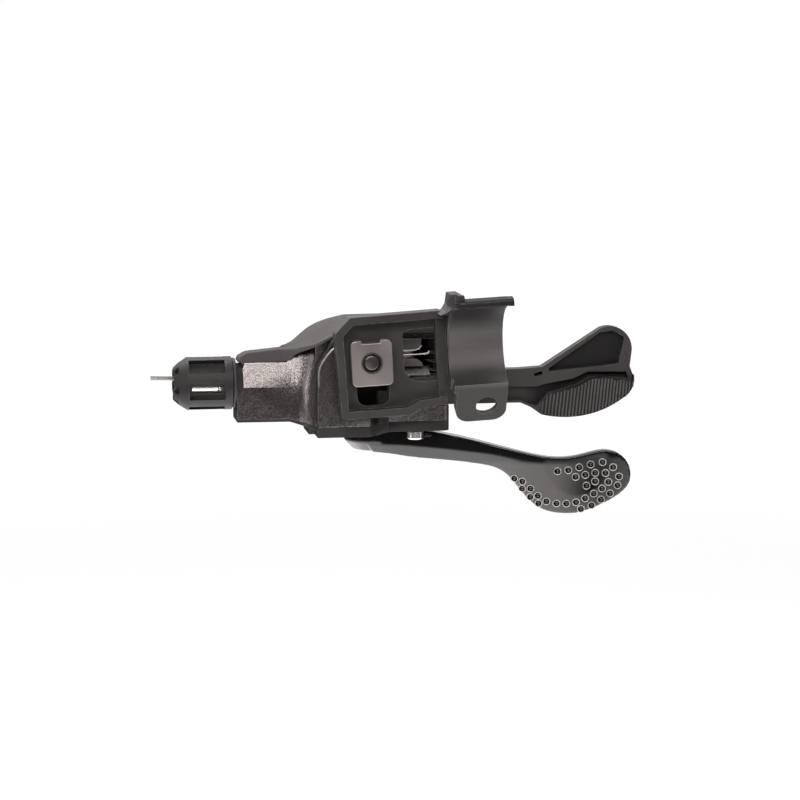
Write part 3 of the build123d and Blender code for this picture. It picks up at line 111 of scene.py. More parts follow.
def vector(tree, operation, inputs):
    """One operation on vectors."""
    return add(tree, "ShaderNodeVectorMath", inputs, operation=operation)["Vector"]


def node_tree(name, kind, inputs, outputs):
    """A group with its named sockets; returns the tree and the outputs of its first node."""
    tree = bpy.data.node_groups.new(name, kind)
    for label, carries, value in inputs:
        socket = tree.interface.new_socket(
            name=label, in_out="INPUT", socket_type="NodeSocket" + carries
        )
        if value is not None:
            socket.default_value = value
    for label, carries in outputs:
        tree.interface.new_socket(name=label, in_out="OUTPUT", socket_type="NodeSocket" + carries)
    return tree, add(tree, "NodeGroupInput")


# Shared finishes, as shader groups

def moulded_grain():
    """Fine moulding grain and a slow change of tone over the piece."""
    tree, given = node_tree(
        "moulded_grain", "ShaderNodeTree",
        [("Grain Scale", "Float", 3500.0), ("Tone Scale", "Float", 90.0)],
        [("Height", "Float"), ("Tone", "Float")],
    )
    place = add(tree, "ShaderNodeTexCoord")["Object"]
    grain = add(
        tree, "ShaderNodeTexNoise",
        {"Vector": place, "Scale": given["Grain Scale"], "Detail": 3.0, "Roughness": 0.6},
    )
    tone = add(
        tree, "ShaderNodeTexNoise", {"Vector": place, "Scale": given["Tone Scale"], "Detail": 4.0}
    )
    spread = span(tree, tone["Fac"], 0.0, 1.0, 0.3, 0.7)
    add(tree, "NodeGroupOutput", {"Height": grain["Fac"], "Tone": spread})
    return tree


def metal_flake():
    """Flakes under a satin lacquer: each cell has its own brightness and tilt."""
    tree, given = node_tree(
        "metal_flake", "ShaderNodeTree",
        [("Flake Scale", "Float", 4200.0), ("Tilt", "Float", 0.3)],
        [("Sparkle", "Float"), ("Normal", "Vector")],
    )
    place = add(tree, "ShaderNodeTexCoord")["Object"]
    cells = add(tree, "ShaderNodeTexVoronoi", {"Vector": place, "Scale": given["Flake Scale"]})
    sparkle = add(tree, "ShaderNodeSeparateColor", {"Color": cells["Color"]})["Red"]
    normal = add(tree, "ShaderNodeNewGeometry")["Normal"]
    centred = vector(tree, "SUBTRACT", {0: cells["Color"], 1: (0.5, 0.5, 0.5)})
    tilted = vector(tree, "SCALE", {0: centred, "Scale": given["Tilt"]})
    leaned = vector(tree, "NORMALIZE", {0: vector(tree, "ADD", {0: normal, 1: tilted})})
    add(tree, "NodeGroupOutput", {"Sparkle": sparkle, "Normal": leaned})
    return tree


def rubbed_edges():
    """Mask along edges for rubbed wear and a painted edge highlight, broken up where hands and tools have
    rubbed them.
    """
    tree, given = node_tree(
        "rubbed_edges", "ShaderNodeTree",
        [("Reach", "Float", 0.0003), ("Breakup Scale", "Float", 700.0)],
        [("Mask", "Float")],
    )
    normal = add(tree, "ShaderNodeNewGeometry")["Normal"]
    rounded = add(tree, "ShaderNodeBevel", {"Radius": given["Reach"]}, samples=6)["Normal"]
    along = add(tree, "ShaderNodeVectorMath", {0: normal, 1: rounded}, operation="DOT_PRODUCT")
    edge = span(tree, along["Value"], 0.0, 1.0, 0.99, 0.86)
    place = add(tree, "ShaderNodeTexCoord")["Object"]
    breakup = add(
        tree, "ShaderNodeTexNoise", {"Vector": place, "Scale": given["Breakup Scale"], "Detail": 3.0}
    )
    kept = span(tree, breakup["Fac"], 0.0, 1.0, 0.35, 0.65)
    add(tree, "NodeGroupOutput", {"Mask": combined(tree, "MULTIPLY", edge, kept)})
    return tree


def brushed_lines():
    """Fine lines drawn along one direction of the piece."""
    tree, given = node_tree(
        "brushed_lines", "ShaderNodeTree",
        [("Line Scale", "Float", 2500.0), ("Stretch", "Vector", (0.04, 1.0, 1.0))],
        [("Height", "Float")],
    )
    place = add(tree, "ShaderNodeTexCoord")["Object"]
    drawn = vector(tree, "MULTIPLY", {0: place, 1: given["Stretch"]})
    lines = add(
        tree, "ShaderNodeTexNoise", {"Vector": drawn, "Scale": given["Line Scale"], "Detail": 4.0}
    )
    add(tree, "NodeGroupOutput", {"Height": lines["Fac"]})
    return tree


GRAIN = moulded_grain()
FLAKE = metal_flake()
EDGES = rubbed_edges()
LINES = brushed_lines()

# Depths, widths of the rubbed and highlit edges and places on the pieces are in mm
GRAIN_DEPTH = 0.06
LACQUER_DEPTH = 0.05
LINE_DEPTH = 0.03
THREAD_DEPTH = -0.3
THREAD_PITCH = 0.8
THREAD_RUN_IN = 0.3
WAVE_LENGTH = 0.314
DULL_SHARE = 0.72

# Each pair is where a mask starts and where it is full or gone
# POCKET_* bound the painted shade in the housing's pocket behind the bracket
POCKET_FRONT, POCKET_BACK = (18.0, 19.0), (20.6, 21.4)
POCKET_LEFT, POCKET_RIGHT = (-33.0, -32.4), (-22.6, -22.0)
# SEAT_* bound a painted highlight on the saddle; EAR_* and CREST_LOW bound painted shade on the ear and
# the crest
SADDLE_LEFT = (-7.6, -7.0)
SEAT_LOW, SEAT_HIGH = (-6.5, -1.5), (0.5, 5.5)
EAR_TOP, EAR_FULL = (-10.8, -9.4), 0.85
CREST_LOW = (4.0, 7.5)
# FLOOR_*, WING_START and TRENCH_SHARE bound painted shade on the floors of the release lever's pocket and
# trench
FLOOR_FRONT, FLOOR_BACK = (27.1, 27.6), (28.3, 28.5)
WING_START, TRENCH_SHARE = (16.0, 20.0), 0.35
ARM_END, PADDLE_TIP, DISH_TOP = (1.0, 10.0), (22.0, 31.0), (-32.6, -31.4)


class Finish:
    """One material and short ways to add nodes to it."""

    def __init__(self, name, colour, roughness=0.5, metallic=0.0, shine=0.5):
        self.material = bpy.data.materials.new(name)
        self.material.use_nodes = True
        self.material.diffuse_color = (*colour, 1.0)
        self.tree = self.material.node_tree
        self.shader = self.tree.nodes["Principled BSDF"]
        self.fed = {}
        self.set("Base Color", (*colour, 1.0))
        self.set("Roughness", roughness)
        self.set("Metallic", metallic)
        self.set("Specular IOR Level", shine)

    def set(self, label, value):
        self.shader.inputs[label].default_value = value

    def feed(self, label, source):
        """Links an output to the shader and remembers it."""
        self.tree.links.new(source, self.shader.inputs[label])
        self.fed[label] = source

    def group(self, tree, **values):
        """A shared group with its own values; returns its outputs."""
        inputs = {label.replace("_", " "): value for label, value in values.items()}
        return add(self.tree, "ShaderNodeGroup", inputs, node_tree=tree)

    def mixed(self, mask, low, high):
        """From a colour, or an output that carries one, to another colour by a mask."""
        low = (*low, 1.0) if isinstance(low, tuple) else low
        inputs = {"Factor": mask, "A": low, "B": (*high, 1.0)}
        return add(self.tree, "ShaderNodeMix", inputs, data_type="RGBA")["Result"]

    def span(self, value, low, high):
        return span(self.tree, value, low, high)

    def place(self):
        """The place on the piece."""
        return add(self.tree, "ShaderNodeTexCoord")["Object"]

    def axes(self):
        """The place on the piece as three outputs, for X, Y and Z."""
        return tuple(add(self.tree, "ShaderNodeSeparateXYZ", {"Vector": self.place()}))

    def past(self, axis, limits, low=0.0, high=1.0):
        """Mask that changes from low to high between two places on an axis."""
        start, end = limits
        return span(self.tree, axis, low, high, start * MM, end * MM)

    def before(self, axis, limits, full=1.0):
        return self.past(axis, limits, full, 0.0)

    def overlap(self, *masks):
        return combined(self.tree, "MULTIPLY", *masks)

    def relief(self, height, strength, depth):
        """Bump from a height, as the shader's normal."""
        inputs = {"Height": height, "Strength": strength, "Distance": depth * MM}
        self.feed("Normal", add(self.tree, "ShaderNodeBump", inputs)["Normal"])

    def worn_and_highlit(self, source, colour, reach):
        """Lays an edge colour over a base colour: rubbed wear with a painted edge highlight."""
        return self.mixed(self.group(EDGES, Reach=reach * MM)["Mask"], source, colour)


def moulded(
    name, dark, light, rough, grain, strength, edge=None, reach=0.3, metallic=0.0, shine=0.5
):
    """Grained finish with slow changes of tone, and rubbed edges with a painted edge highlight; no rough
    where a mask gives it later.
    """
    finish = Finish(name, dark, metallic=metallic, shine=shine)
    texture = finish.group(GRAIN, Grain_Scale=grain)
    tone = finish.mixed(texture["Tone"], dark, light)
    if edge:
        tone = finish.worn_and_highlit(tone, edge, reach)
    finish.feed("Base Color", tone)
    if rough:
        finish.feed("Roughness", finish.span(texture["Tone"], *rough))
    finish.relief(texture["Height"], strength, GRAIN_DEPTH)
    return finish


def housing_paint():
    """Flake paint with rubbed edges and a painted edge highlight, and painted shade in the pocket behind
    the bracket.
    """
    finish = Finish("graphite_flake_paint", (0.17, 0.158, 0.155), metallic=0.96)
    flake = finish.group(FLAKE, Flake_Scale=5400.0, Tilt=0.16)
    grain = finish.group(GRAIN, Grain_Scale=1800.0, Tone_Scale=70.0)
    paint = finish.mixed(flake["Sparkle"], (0.05, 0.0465, 0.0455), (0.18, 0.168, 0.1645))
    # rubbed wear with a painted edge highlight
    tone = finish.worn_and_highlit(paint, (0.36, 0.34, 0.33), 0.4)
    x_axis, y_axis, _ = finish.axes()
    # painted shade: a dark colour in the pocket behind the bracket
    pocket = finish.overlap(
        finish.past(y_axis, POCKET_FRONT),
        finish.before(y_axis, POCKET_BACK),
        finish.past(x_axis, POCKET_LEFT),
        finish.before(x_axis, POCKET_RIGHT),
    )
    finish.feed("Base Color", finish.mixed(pocket, tone, (0.012, 0.011, 0.0108)))
    finish.feed("Roughness", finish.span(grain["Tone"], 0.3, 0.32))
    finish.feed("Normal", flake["Normal"])
    return finish


def bracket_blasting():
    """Blasted black with a painted highlight where the bar sits, painted shade on the bolt's ear and the
    crest, and a rougher ear.
    """
    finish = moulded(
        "blasted_black_bracket", (0.028, 0.0262, 0.0257), (0.045, 0.0422, 0.0414), None,
        grain=3800.0, strength=0.6, metallic=0.3, shine=0.35,
    )
    x_axis, _, z_axis = finish.axes()
    saddle = finish.past(x_axis, SADDLE_LEFT)
    # seat: painted highlight; ear and crest: painted shade
    seat = finish.overlap(finish.past(z_axis, SEAT_LOW), finish.before(z_axis, SEAT_HIGH), saddle)
    ear = finish.overlap(finish.before(z_axis, EAR_TOP, EAR_FULL), saddle)
    crest = finish.overlap(finish.past(z_axis, CREST_LOW), saddle)
    tone = finish.fed["Base Color"]
    # painted highlight on the seat, painted shade on the ear and the crest
    for mask, colour in (
        (seat, (0.095, 0.09, 0.089)),
        (ear, (0.034, 0.0322, 0.0317)),
        (crest, (0.012, 0.0114, 0.0112)),
    ):
        tone = finish.mixed(mask, tone, colour)
    # rubbed wear with a painted edge highlight
    finish.feed("Base Color", finish.worn_and_highlit(tone, (0.19, 0.182, 0.178), 0.3))
    finish.feed("Roughness", finish.span(ear, 0.48, 0.76))
    return finish


def release_moulding():
    """Satin black, with painted shade on the floors of the pocket and the trench."""
    finish = moulded(
        "satin_black_release", (0.038, 0.0361, 0.0355), (0.053, 0.0505, 0.0498), None,
        grain=3600.0, strength=0.3, shine=0.24,
    )
    x_axis, y_axis, _ = finish.axes()
    # painted shade: the floors of the pocket and the trench are darkened
    floor = finish.overlap(
        finish.past(y_axis, FLOOR_FRONT),
        finish.before(y_axis, FLOOR_BACK),
        finish.past(x_axis, WING_START, TRENCH_SHARE),
    )
    tone = finish.mixed(floor, finish.fed["Base Color"], (0.004, 0.0038, 0.0037))
    # rubbed wear with a painted edge highlight
    finish.feed("Base Color", finish.worn_and_highlit(tone, (0.12, 0.116, 0.113), 0.25))
    finish.feed("Roughness", finish.span(floor, 0.42, 0.62))
    return finish


def lever_lacquer():
    """Gloss black all over, turning to a satin grey in the dish of the paddle."""
    black = (0.004, 0.0039, 0.004)
    finish = Finish("lever_black_lacquer", black, shine=0.4)
    x_axis, _, z_axis = finish.axes()
    dish = finish.overlap(
        finish.past(x_axis, ARM_END),
        finish.before(x_axis, PADDLE_TIP),
        finish.before(z_axis, DISH_TOP),
    )
    grain = finish.group(GRAIN, Grain_Scale=2600.0, Tone_Scale=120.0)
    finish.feed("Base Color", finish.mixed(dish, black, (0.074, 0.0716, 0.0709)))
    finish.feed("Roughness", finish.span(dish, 0.1, 0.5))
    finish.relief(grain["Height"], 0.12, LACQUER_DEPTH)
    finish.set("Coat Weight", 0.1)
    finish.set("Coat Roughness", 0.06)
    return finish


def bright_steel(name, tint, stretch, rough=(0.22, 0.38)):
    """Drawn or brushed metal, its lines along one direction."""
    finish = Finish(name, tint, metallic=1.0)
    lines = finish.group(LINES, Stretch=stretch)["Height"]
    dull = tuple(DULL_SHARE * part for part in tint)
    finish.feed("Base Color", finish.mixed(lines, dull, tint))
    finish.feed("Roughness", finish.span(lines, *rough))
    finish.relief(lines, 0.25, LINE_DEPTH)
    return finish


def threaded_steel(name, metallic, thread_from):
    """Plain at the nose end, with the thread's crests towards the neck and painted shade in the grooves.
    """
    bright = (0.9, 0.88, 0.86)
    finish = Finish(name, bright, 0.3, metallic)
    crests = add(
        finish.tree, "ShaderNodeTexWave",
        {"Vector": finish.place(), "Scale": WAVE_LENGTH / (THREAD_PITCH * MM)}, bands_direction="X",
    )
    x_axis, _, _ = finish.axes()
    cut = finish.past(x_axis, (thread_from, thread_from + THREAD_RUN_IN))
    # painted shade: the colour darkens in the thread's grooves
    groove = finish.overlap(crests["Fac"], cut)
    finish.feed("Base Color", finish.mixed(groove, bright, (0.42, 0.41, 0.4)))
    finish.relief(groove, 0.8, THREAD_DEPTH)
    return finish


ALONG_X, ALONG_Z = (0.05, 1.0, 1.0), (1.0, 1.0, 0.05)
# Edge colours in these finishes are rubbed wear with a painted edge highlight
FINISHES = {
    "housing_graphite": housing_paint(),
    "cover_grey": moulded(
        "matte_grey_cover", (0.046, 0.044, 0.0433), (0.06, 0.0576, 0.0568), (0.5, 0.6),
        grain=4200.0, strength=0.35, edge=(0.2, 0.195, 0.19), reach=0.4, shine=0.12,
    ),
    "bracket_black": bracket_blasting(),
    "nut_taupe": moulded(
        "tumbled_taupe_nut", (0.2, 0.182, 0.176), (0.27, 0.246, 0.238), (0.36, 0.46),
        grain=3000.0, strength=0.35, edge=(0.5, 0.47, 0.45), metallic=0.7,
    ),
    "bolt_black": moulded(
        "black_oxide_bolt", (0.09, 0.087, 0.0855), (0.13, 0.125, 0.123), (0.28, 0.36),
        grain=2600.0, strength=0.2, edge=(0.3, 0.29, 0.285), metallic=0.85,
    ),
    "satin_black": moulded(
        "satin_black_moulding", (0.014, 0.0132, 0.013), (0.024, 0.0228, 0.0225), (0.36, 0.48),
        grain=3600.0, strength=0.3, edge=(0.1, 0.096, 0.094), reach=0.25, shine=0.42,
    ),
    "knob_black": moulded(
        "satin_black_knob", (0.014, 0.0135, 0.0133), (0.023, 0.0222, 0.0218), (0.46, 0.56),
        grain=3200.0, strength=0.3, edge=(0.08, 0.077, 0.075), reach=0.25, shine=0.25,
    ),
    "pad_rubber": moulded(
        "soft_black_pad", (0.055, 0.0535, 0.0522), (0.078, 0.076, 0.0745), (0.34, 0.44),
        grain=3000.0, strength=0.25,
    ),
    "winder_plastic": moulded(
        "winder_nylon", (0.045, 0.045, 0.047), (0.062, 0.062, 0.065), (0.45, 0.55),
        grain=2800.0, strength=0.3,
    ),
    "lever_gloss": lever_lacquer(),
    "steel": bright_steel("brushed_steel", (0.6, 0.59, 0.57), ALONG_Z),
}
WIRE_STEEL = bright_steel("drawn_wire_steel", (0.26, 0.252, 0.246), ALONG_X, (0.3, 0.42))
DULL_STEEL = bright_steel("dull_nut_steel", (0.24, 0.235, 0.23), ALONG_Z, (0.34, 0.46))
# dark spring wire, far darker than the bright steel
SPRING_BLACK = bright_steel("blackened_spring_wire", (0.035, 0.034, 0.033), ALONG_Z, (0.3, 0.4))
TUBE_STEEL = threaded_steel("threaded_steel", 0.35, thread_from=-69.5)
SLOT_STEEL = threaded_steel("bright_slot_steel", 0.7, thread_from=-66.2)
RELEASE_BLACK = release_moulding()
DIMPLE_GLOSS = moulded(
    "gloss_black_dimples", (0.004, 0.0039, 0.0039), (0.007, 0.0068, 0.0067), (0.14, 0.2),
    grain=2600.0, strength=0.1,
)
# painted highlight for the dimple rims and the moulding's lip
HIGHLIGHT_PAINT = moulded(
    "rubbed_dimple_rims", (0.26, 0.25, 0.245), (0.42, 0.405, 0.395), (0.26, 0.34),
    grain=2600.0, strength=0.2, metallic=0.8,
)
# painted shade between the pad's ribs, with rubbed edges
PAD_GROOVE_SHADE = moulded(
    "dark_pad_grooves", (0.004, 0.0039, 0.0038), (0.008, 0.0077, 0.0075), (0.5, 0.6),
    grain=3000.0, strength=0.3, edge=(0.07, 0.067, 0.065), reach=0.5, shine=0.3,
)
# painted highlight along the ridge between the neck's cove and the boss
RIDGE_HIGHLIGHT = moulded(
    "rubbed_ridge_paint", (0.3, 0.285, 0.28), (0.44, 0.42, 0.41), (0.32, 0.38),
    grain=2600.0, strength=0.3, metallic=0.85,
)
INNER_GREY = moulded(
    "inner_grey_moulding", (0.075, 0.071, 0.07), (0.1, 0.095, 0.0935), (0.45, 0.55),
    grain=3400.0, strength=0.3, edge=(0.3, 0.29, 0.285), reach=0.4, shine=0.35,
)
# rubber for the seal and the window strip, painted shadow for the gap ring around the bolt
RUBBER_AND_GAP_SHADOW = moulded(
    "seal_rubber", (0.02, 0.02, 0.02), (0.03, 0.03, 0.03), (0.6, 0.7), grain=2600.0, strength=0.3,
)


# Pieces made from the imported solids

WELD = 0.002
FLAT_ANGLE = 0.4
EDGE_ANGLE = 32.0
ROLL_FACTOR = 0.5
FORWARD = Vector((0.0, 1.0, 0.0))
IN_FRONT = -50.0


def link_piece(name, mesh):
    piece = bpy.data.objects.new(name, mesh)
    scene.collection.objects.link(piece)
    return piece


def place_piece(piece, body, finish):
    """Sets a finished piece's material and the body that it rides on."""
    piece.data.materials.clear()
    piece.data.materials.append(finish.material)
    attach(piece, body)


def stand_in(piece, node, finish=None):
    """Puts a finished piece in the place of a node's plain solid."""
    place_piece(piece, BODY_OF[node], finish or FINISHES[SLOT_OF[node]])
    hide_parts(node)


def mesh_from(shell, name):
    mesh = bpy.data.meshes.new(name)
    shell.to_mesh(mesh)
    shell.free()
    return mesh


def joined_copy(node):
    """The node's mesh with its loose triangles joined and flat faces made whole."""
    shell = bmesh.new()
    shell.from_mesh(NODES[node].data)
    bmesh.ops.remove_doubles(shell, verts=shell.verts, dist=WELD * MM)
    bmesh.ops.dissolve_limit(
        shell, angle_limit=math.radians(FLAT_ANGLE), verts=shell.verts, edges=shell.edges
    )
    return mesh_from(shell, node + "_finished")


def softened(node, width, segments=2, finish=None, reshape=None):
    """The node with its sharp edges rounded, in place of the plain solid."""
    mesh = joined_copy(node)
    if reshape:
        reshape(mesh)
    mesh.shade_smooth()
    mesh.set_sharp_from_angle(angle=math.radians(EDGE_ANGLE))
    piece = link_piece(node + "_finished", mesh)
    rounding = piece.modifiers.new("edges", "BEVEL")
    rounding.width = width * MM
    rounding.segments = segments
    rounding.limit_method = "ANGLE"
    rounding.angle_limit = math.radians(EDGE_ANGLE)
    rounding.use_clamp_overlap = True
    rounding.harden_normals = True
    stand_in(piece, node, finish)


def evaluated_mesh(piece):
    """What a piece's modifiers make, as a plain mesh; the piece itself goes."""
    ready = piece.evaluated_get(bpy.context.evaluated_depsgraph_get())
    mesh = bpy.data.meshes.new_from_object(ready)
    bpy.data.objects.remove(piece)
    return mesh


def cast(node, voxel, passes, added=None):
    """The node remade as one smooth casting, with rolled edges; returns its mesh."""
    pattern = joined_copy(node)
    if added:
        shell = bmesh.new()
        shell.from_mesh(pattern)
        shell.from_mesh(added)
        shell.to_mesh(pattern)
        shell.free()
    source = link_piece(node + "_pattern", pattern)
    grid = source.modifiers.new("grid", "REMESH")
    grid.mode = "VOXEL"
    grid.voxel_size = voxel * MM
    grid.use_smooth_shade = True
    roll = source.modifiers.new("roll", "SMOOTH")
    roll.factor = ROLL_FACTOR
    roll.iterations = passes
    return evaluated_mesh(source)


def surface_of(mesh):
    """Ray target for laying small pieces on a mesh."""
    shell = bmesh.new()
    shell.from_mesh(mesh)
    tree = BVHTree.FromBMesh(shell)
    shell.free()
    return tree


def middle_of(node):
    low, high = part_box(node)
    return (low + high) / 2


# Closed shapes from rings of points, in mm

def add_walls(shell, rings, caps=(True, True)):
    """Walls from each ring of points to the next, with the first and last ring closed or open."""
    made = [[shell.verts.new(Vector(point) * MM) for point in ring] for ring in rings]
    sides = len(made[0])
    for low, high in zip(made, made[1:]):
        for side in range(sides):
            after = (side + 1) % sides
            shell.faces.new((low[side], low[after], high[after], high[side]))
    for ring, closed in zip((made[0], made[-1]), caps):
        if closed:
            shell.faces.new(ring)


def walled(name, rings, rounding=0.0, caps=(True, True)):
    """Mesh of one set of rings, its edges rounded."""
    shell = bmesh.new()
    add_walls(shell, rings, caps)
    bmesh.ops.recalc_face_normals(shell, faces=shell.faces)
    if rounding:
        bmesh.ops.bevel(
            shell, geom=shell.edges[:], offset=rounding * MM, segments=2, affect="EDGES", profile=0.5
        )
    return mesh_from(shell, name)


def turned(name, profile, sides, closed=True):
    """Small part turned about Z from a profile of radius and height, open at its start."""
    bearings = [2.0 * math.pi * side / sides for side in range(sides)]
    rings = [
        [(radius * math.cos(bearing), radius * math.sin(bearing), height) for bearing in bearings]
        for radius, height in profile
    ]
    return link_piece(name, walled(name, rings, caps=(False, closed)))


# Small pieces that repeat, as geometry trees

RIB_SIDES, WIRE_SIDES = 6, 8


def geometry_tree(name, inputs):
    return node_tree(
        name, "GeometryNodeTree",
        [("Geometry", "Geometry", None), *inputs, ("Material", "Material", None)],
        [("Geometry", "Geometry")],
    )


def close_tree(tree, given, shape):
    """Ends a tree: real geometry, smooth shading and the material input."""
    for kind, inputs in (
        ("GeometryNodeRealizeInstances", {}),
        ("GeometryNodeSetShadeSmooth", {}),
        ("GeometryNodeSetMaterial", {"Material": given["Material"]}),
    ):
        shape = add(tree, kind, {"Geometry": shape, **inputs})["Geometry"]
    add(tree, "NodeGroupOutput", {"Geometry": shape})
    return tree


def swept(tree, curve, radius, sides):
    """A round section swept along curves."""
    section = add(
        tree, "GeometryNodeCurvePrimitiveCircle", {"Radius": radius, "Resolution": sides}
    )
    return add(
        tree, "GeometryNodeCurveToMesh",
        {"Curve": curve, "Profile Curve": section["Curve"], "Fill Caps": True},
    )["Mesh"]


def set_on_points():
    """A piece set on each point, its Z along the point's own facing."""
    tree, given = geometry_tree(
        "set_on_points", [("Piece", "Object", None), ("Size", "Float", 1.0)]
    )
    piece = add(tree, "GeometryNodeObjectInfo", {"Object": given["Piece"]})["Geometry"]
    facing = add(
        tree, "GeometryNodeInputNamedAttribute", {"Name": "facing"}, data_type="FLOAT_VECTOR"
    )["Attribute"]
    turn = add(tree, "FunctionNodeAlignRotationToVector", {"Vector": facing}, axis="Z")["Rotation"]
    spread = add(
        tree, "GeometryNodeInstanceOnPoints",
        {"Points": given["Geometry"], "Instance": piece, "Rotation": turn, "Scale": given["Size"]},
    )
    return close_tree(tree, given, spread["Instances"])


def swept_lines():
    """Round ribs along each run of edges."""
    tree, given = geometry_tree("swept_lines", [("Rib Radius", "Float", 0.0002)])
    lines = add(tree, "GeometryNodeMeshToCurve", {"Mesh": given["Geometry"]})["Curve"]
    return close_tree(tree, given, swept(tree, lines, given["Rib Radius"], RIB_SIDES))


def wound_coil():
    """Round wire wound on a straight axis along Z, one strand or several side by side."""
    tree, given = geometry_tree(
        "wound_coil",
        [
            ("Coil Radius", "Float", 0.003),
            ("Turns", "Float", 3.0),
            ("Height", "Float", 0.006),
            ("Wire Radius", "Float", 0.0004),
            ("Strands", "Int", 1),
            ("Bends", "Int", 24),
        ],
    )
    helix = add(
        tree, "GeometryNodeCurveSpiral",
        {
            "Resolution": given["Bends"],
            "Rotations": given["Turns"],
            "Start Radius": given["Coil Radius"],
            "End Radius": given["Coil Radius"],
            "Height": given["Height"],
        },
    )
    starts = add(
        tree, "GeometryNodePoints", {"Count": given["Strands"], "Position": (0.0, 0.0, 0.0)}
    )
    index = add(tree, "GeometryNodeInputIndex")["Index"]
    part_turn = combined(tree, "DIVIDE", index, given["Strands"])
    bearing = combined(tree, "MULTIPLY", part_turn, 2.0 * math.pi)
    about = add(tree, "ShaderNodeCombineXYZ", {"Z": bearing})
    strands = add(
        tree, "GeometryNodeInstanceOnPoints",
        {"Points": starts["Points"], "Instance": helix["Curve"], "Rotation": about["Vector"]},
    )
    loose = add(tree, "GeometryNodeRealizeInstances", {"Geometry": strands["Instances"]})
    wire = swept(tree, loose["Geometry"], given["Wire Radius"], WIRE_SIDES)
    return close_tree(tree, given, wire)


ON_POINTS = set_on_points()
RIBS = swept_lines()
COIL = wound_coil()


def grown(name, tree, start, finish, **values):
    """Runs a geometry tree on a start mesh and keeps the result as a plain mesh object."""
    seed = link_piece(name + "_seed", start)
    growth = seed.modifiers.new("growth", "NODES")
    growth.node_group = tree
    values["Material"] = finish.material
    for item in tree.interface.items_tree:
        label = item.name.replace(" ", "_")
        if item.in_out == "INPUT" and label in values:
            growth[item.identifier] = values[label]
    return link_piece(name, evaluated_mesh(seed))


def line_mesh(name, points, edges=None):
    """Bare points joined by edges, in one run where no edges are given."""
    if edges is None:
        edges = [(index, index + 1) for index in range(len(points) - 1)]
    mesh = bpy.data.meshes.new(name)
    mesh.from_pydata(points, edges, [])
    return mesh


def set_out(name, profile, sides, closed, places, facings, finish, **values):
    """A turned part set on each place, facing its own way."""
    shape = turned(name + "_shape", profile, sides, closed)
    start = line_mesh(name + "_places", places, [])
    facing = start.attributes.new("facing", "FLOAT_VECTOR", "POINT")
    for index, direction in enumerate(facings):
        facing.data[index].vector = direction
    piece = grown(name, ON_POINTS, start, finish, Piece=shape, **values)
    bpy.data.objects.remove(shape)
    return piece


def facing_matrix(place, along):
    """Turns Z to a direction and moves the origin to a place."""
    return Matrix.Translation(place) @ Vector(along).to_track_quat("Z", "Y").to_matrix().to_4x4()


# Bracket, bottom cover, housing, adjuster and release lever

WING_CORNERS = [
    ((23.6, -7.9), (-2.2, -1.1), 2.4),
    ((36.6, 0.7), (-0.1, 0.5), 1.0),
    ((40.3, 1.1), (-0.2, 0.5), 1.0),
    ((42.8, -0.6), (0.4, 0.3), 1.0),
    ((41.2, -7.2), (0.4, -0.1), 1.0),
    ((37.0, -8.0), (-0.2, 0.1), 1.0),
]
WING_BACK = 28.3
HOLE_FLARE = 1.18
HOLE_SHIFT = 0.9
HOLE_MATCH = 0.05


def widen_pocket(mesh):
    """Draws the corners of the wing's pocket out until only a thin rim is left around it."""
    for vertex in mesh.vertices:
        if vertex.co.y > WING_BACK * MM:
            continue
        for (x, z), (across, up), reach in WING_CORNERS:
            if (Vector((vertex.co.x, vertex.co.z)) - Vector((x, z)) * MM).length < reach * MM:
                vertex.co.x += across * MM
                vertex.co.z += up * MM
                break


def open_bolt_hole(mesh):
    """Opens the ear's bolt hole to the back and down, as a relieved seat for the bolt."""
    hole = next(mount for mount in frame["record"]["mounts"] if mount["name"] == "clamp_bolt_hole")
    middle, axis = Vector(hole["pos_m"]), Vector(hole["axis"]).normalized()
    radius = hole["dims"]["r_mm"] * MM
    down = Vector((0.0, 0.0, -1.0))
    down = (down - axis * down.dot(axis)).normalized()
    for vertex in mesh.vertices:
        away = vertex.co - middle
        along = away.dot(axis)
        out = away - axis * along
        if abs(out.length - radius) < HOLE_MATCH * MM and along * axis.y > 0.0:
            vertex.co = middle + axis * along + out * HOLE_FLARE + down * HOLE_SHIFT * MM


softened("clamp_bracket", 0.4, reshape=open_bolt_hole)
softened("nut_plate", 0.45, segments=3)
softened("bracket_bolt", 0.2)
softened("housing", 0.5, segments=3)
softened("bottom_cover", 0.35)
softened("lever_stop_pin", 0.5, segments=3)
softened("axle_nut", 0.3, finish=DULL_STEEL)
softened("adjuster_knob", 0.35)
softened("adjuster_tube", 0.15, finish=TUBE_STEEL)
softened("release_lever", 0.32, segments=3, finish=RELEASE_BLACK, reshape=widen_pocket)
# pad body in painted shade between its ribs
softened("release_pad", 0.6, segments=3, finish=PAD_GROOVE_SHADE)
softened("release_pin", 0.2, finish=SPRING_BLACK)

# Top cover: crown, strip over the neck and the shoulder between them

COVER_VOXEL, COVER_PASSES = 0.28, 6
COVER_TOP = [(-47.4, -1.9), (-45.2, -1.3), (-34.4, 5.0), (-30.8, 6.0)]
COVER_UNDER = [(-48.0, -5.3), (-45.4, -3.1), (-39.6, 0.0), (-35.8, 1.6)]
SHOULDER_LEFT, SHOULDER_FRONT, SHOULDER_LAP = -48.6, 34.6, 1.3
SHOULDER_WIDE, SHOULDER_DEEP = 14.8, 18.1
SHOULDER_BULGE = 1.0
SHOULDER_THICK, SHOULDER_RISE = 3.2, 0.4
SHOULDER_STEPS = 18
CROWN_BREAK, CROWN_REACH, CROWN_FALL = 34.0, 23.4, 0.94
CROWN_UNDER = 1.6
CREASE_LEFT, CREASE_RIGHT, CREASE_FRONT = (-46.5, -41.5), (-20.0, -26.0), (33.0, 24.0)
CREASE_FALL = 0.58
LEAN_LEFT, LEAN_FRONT = (-38.0, -45.0), (33.0, 27.1)
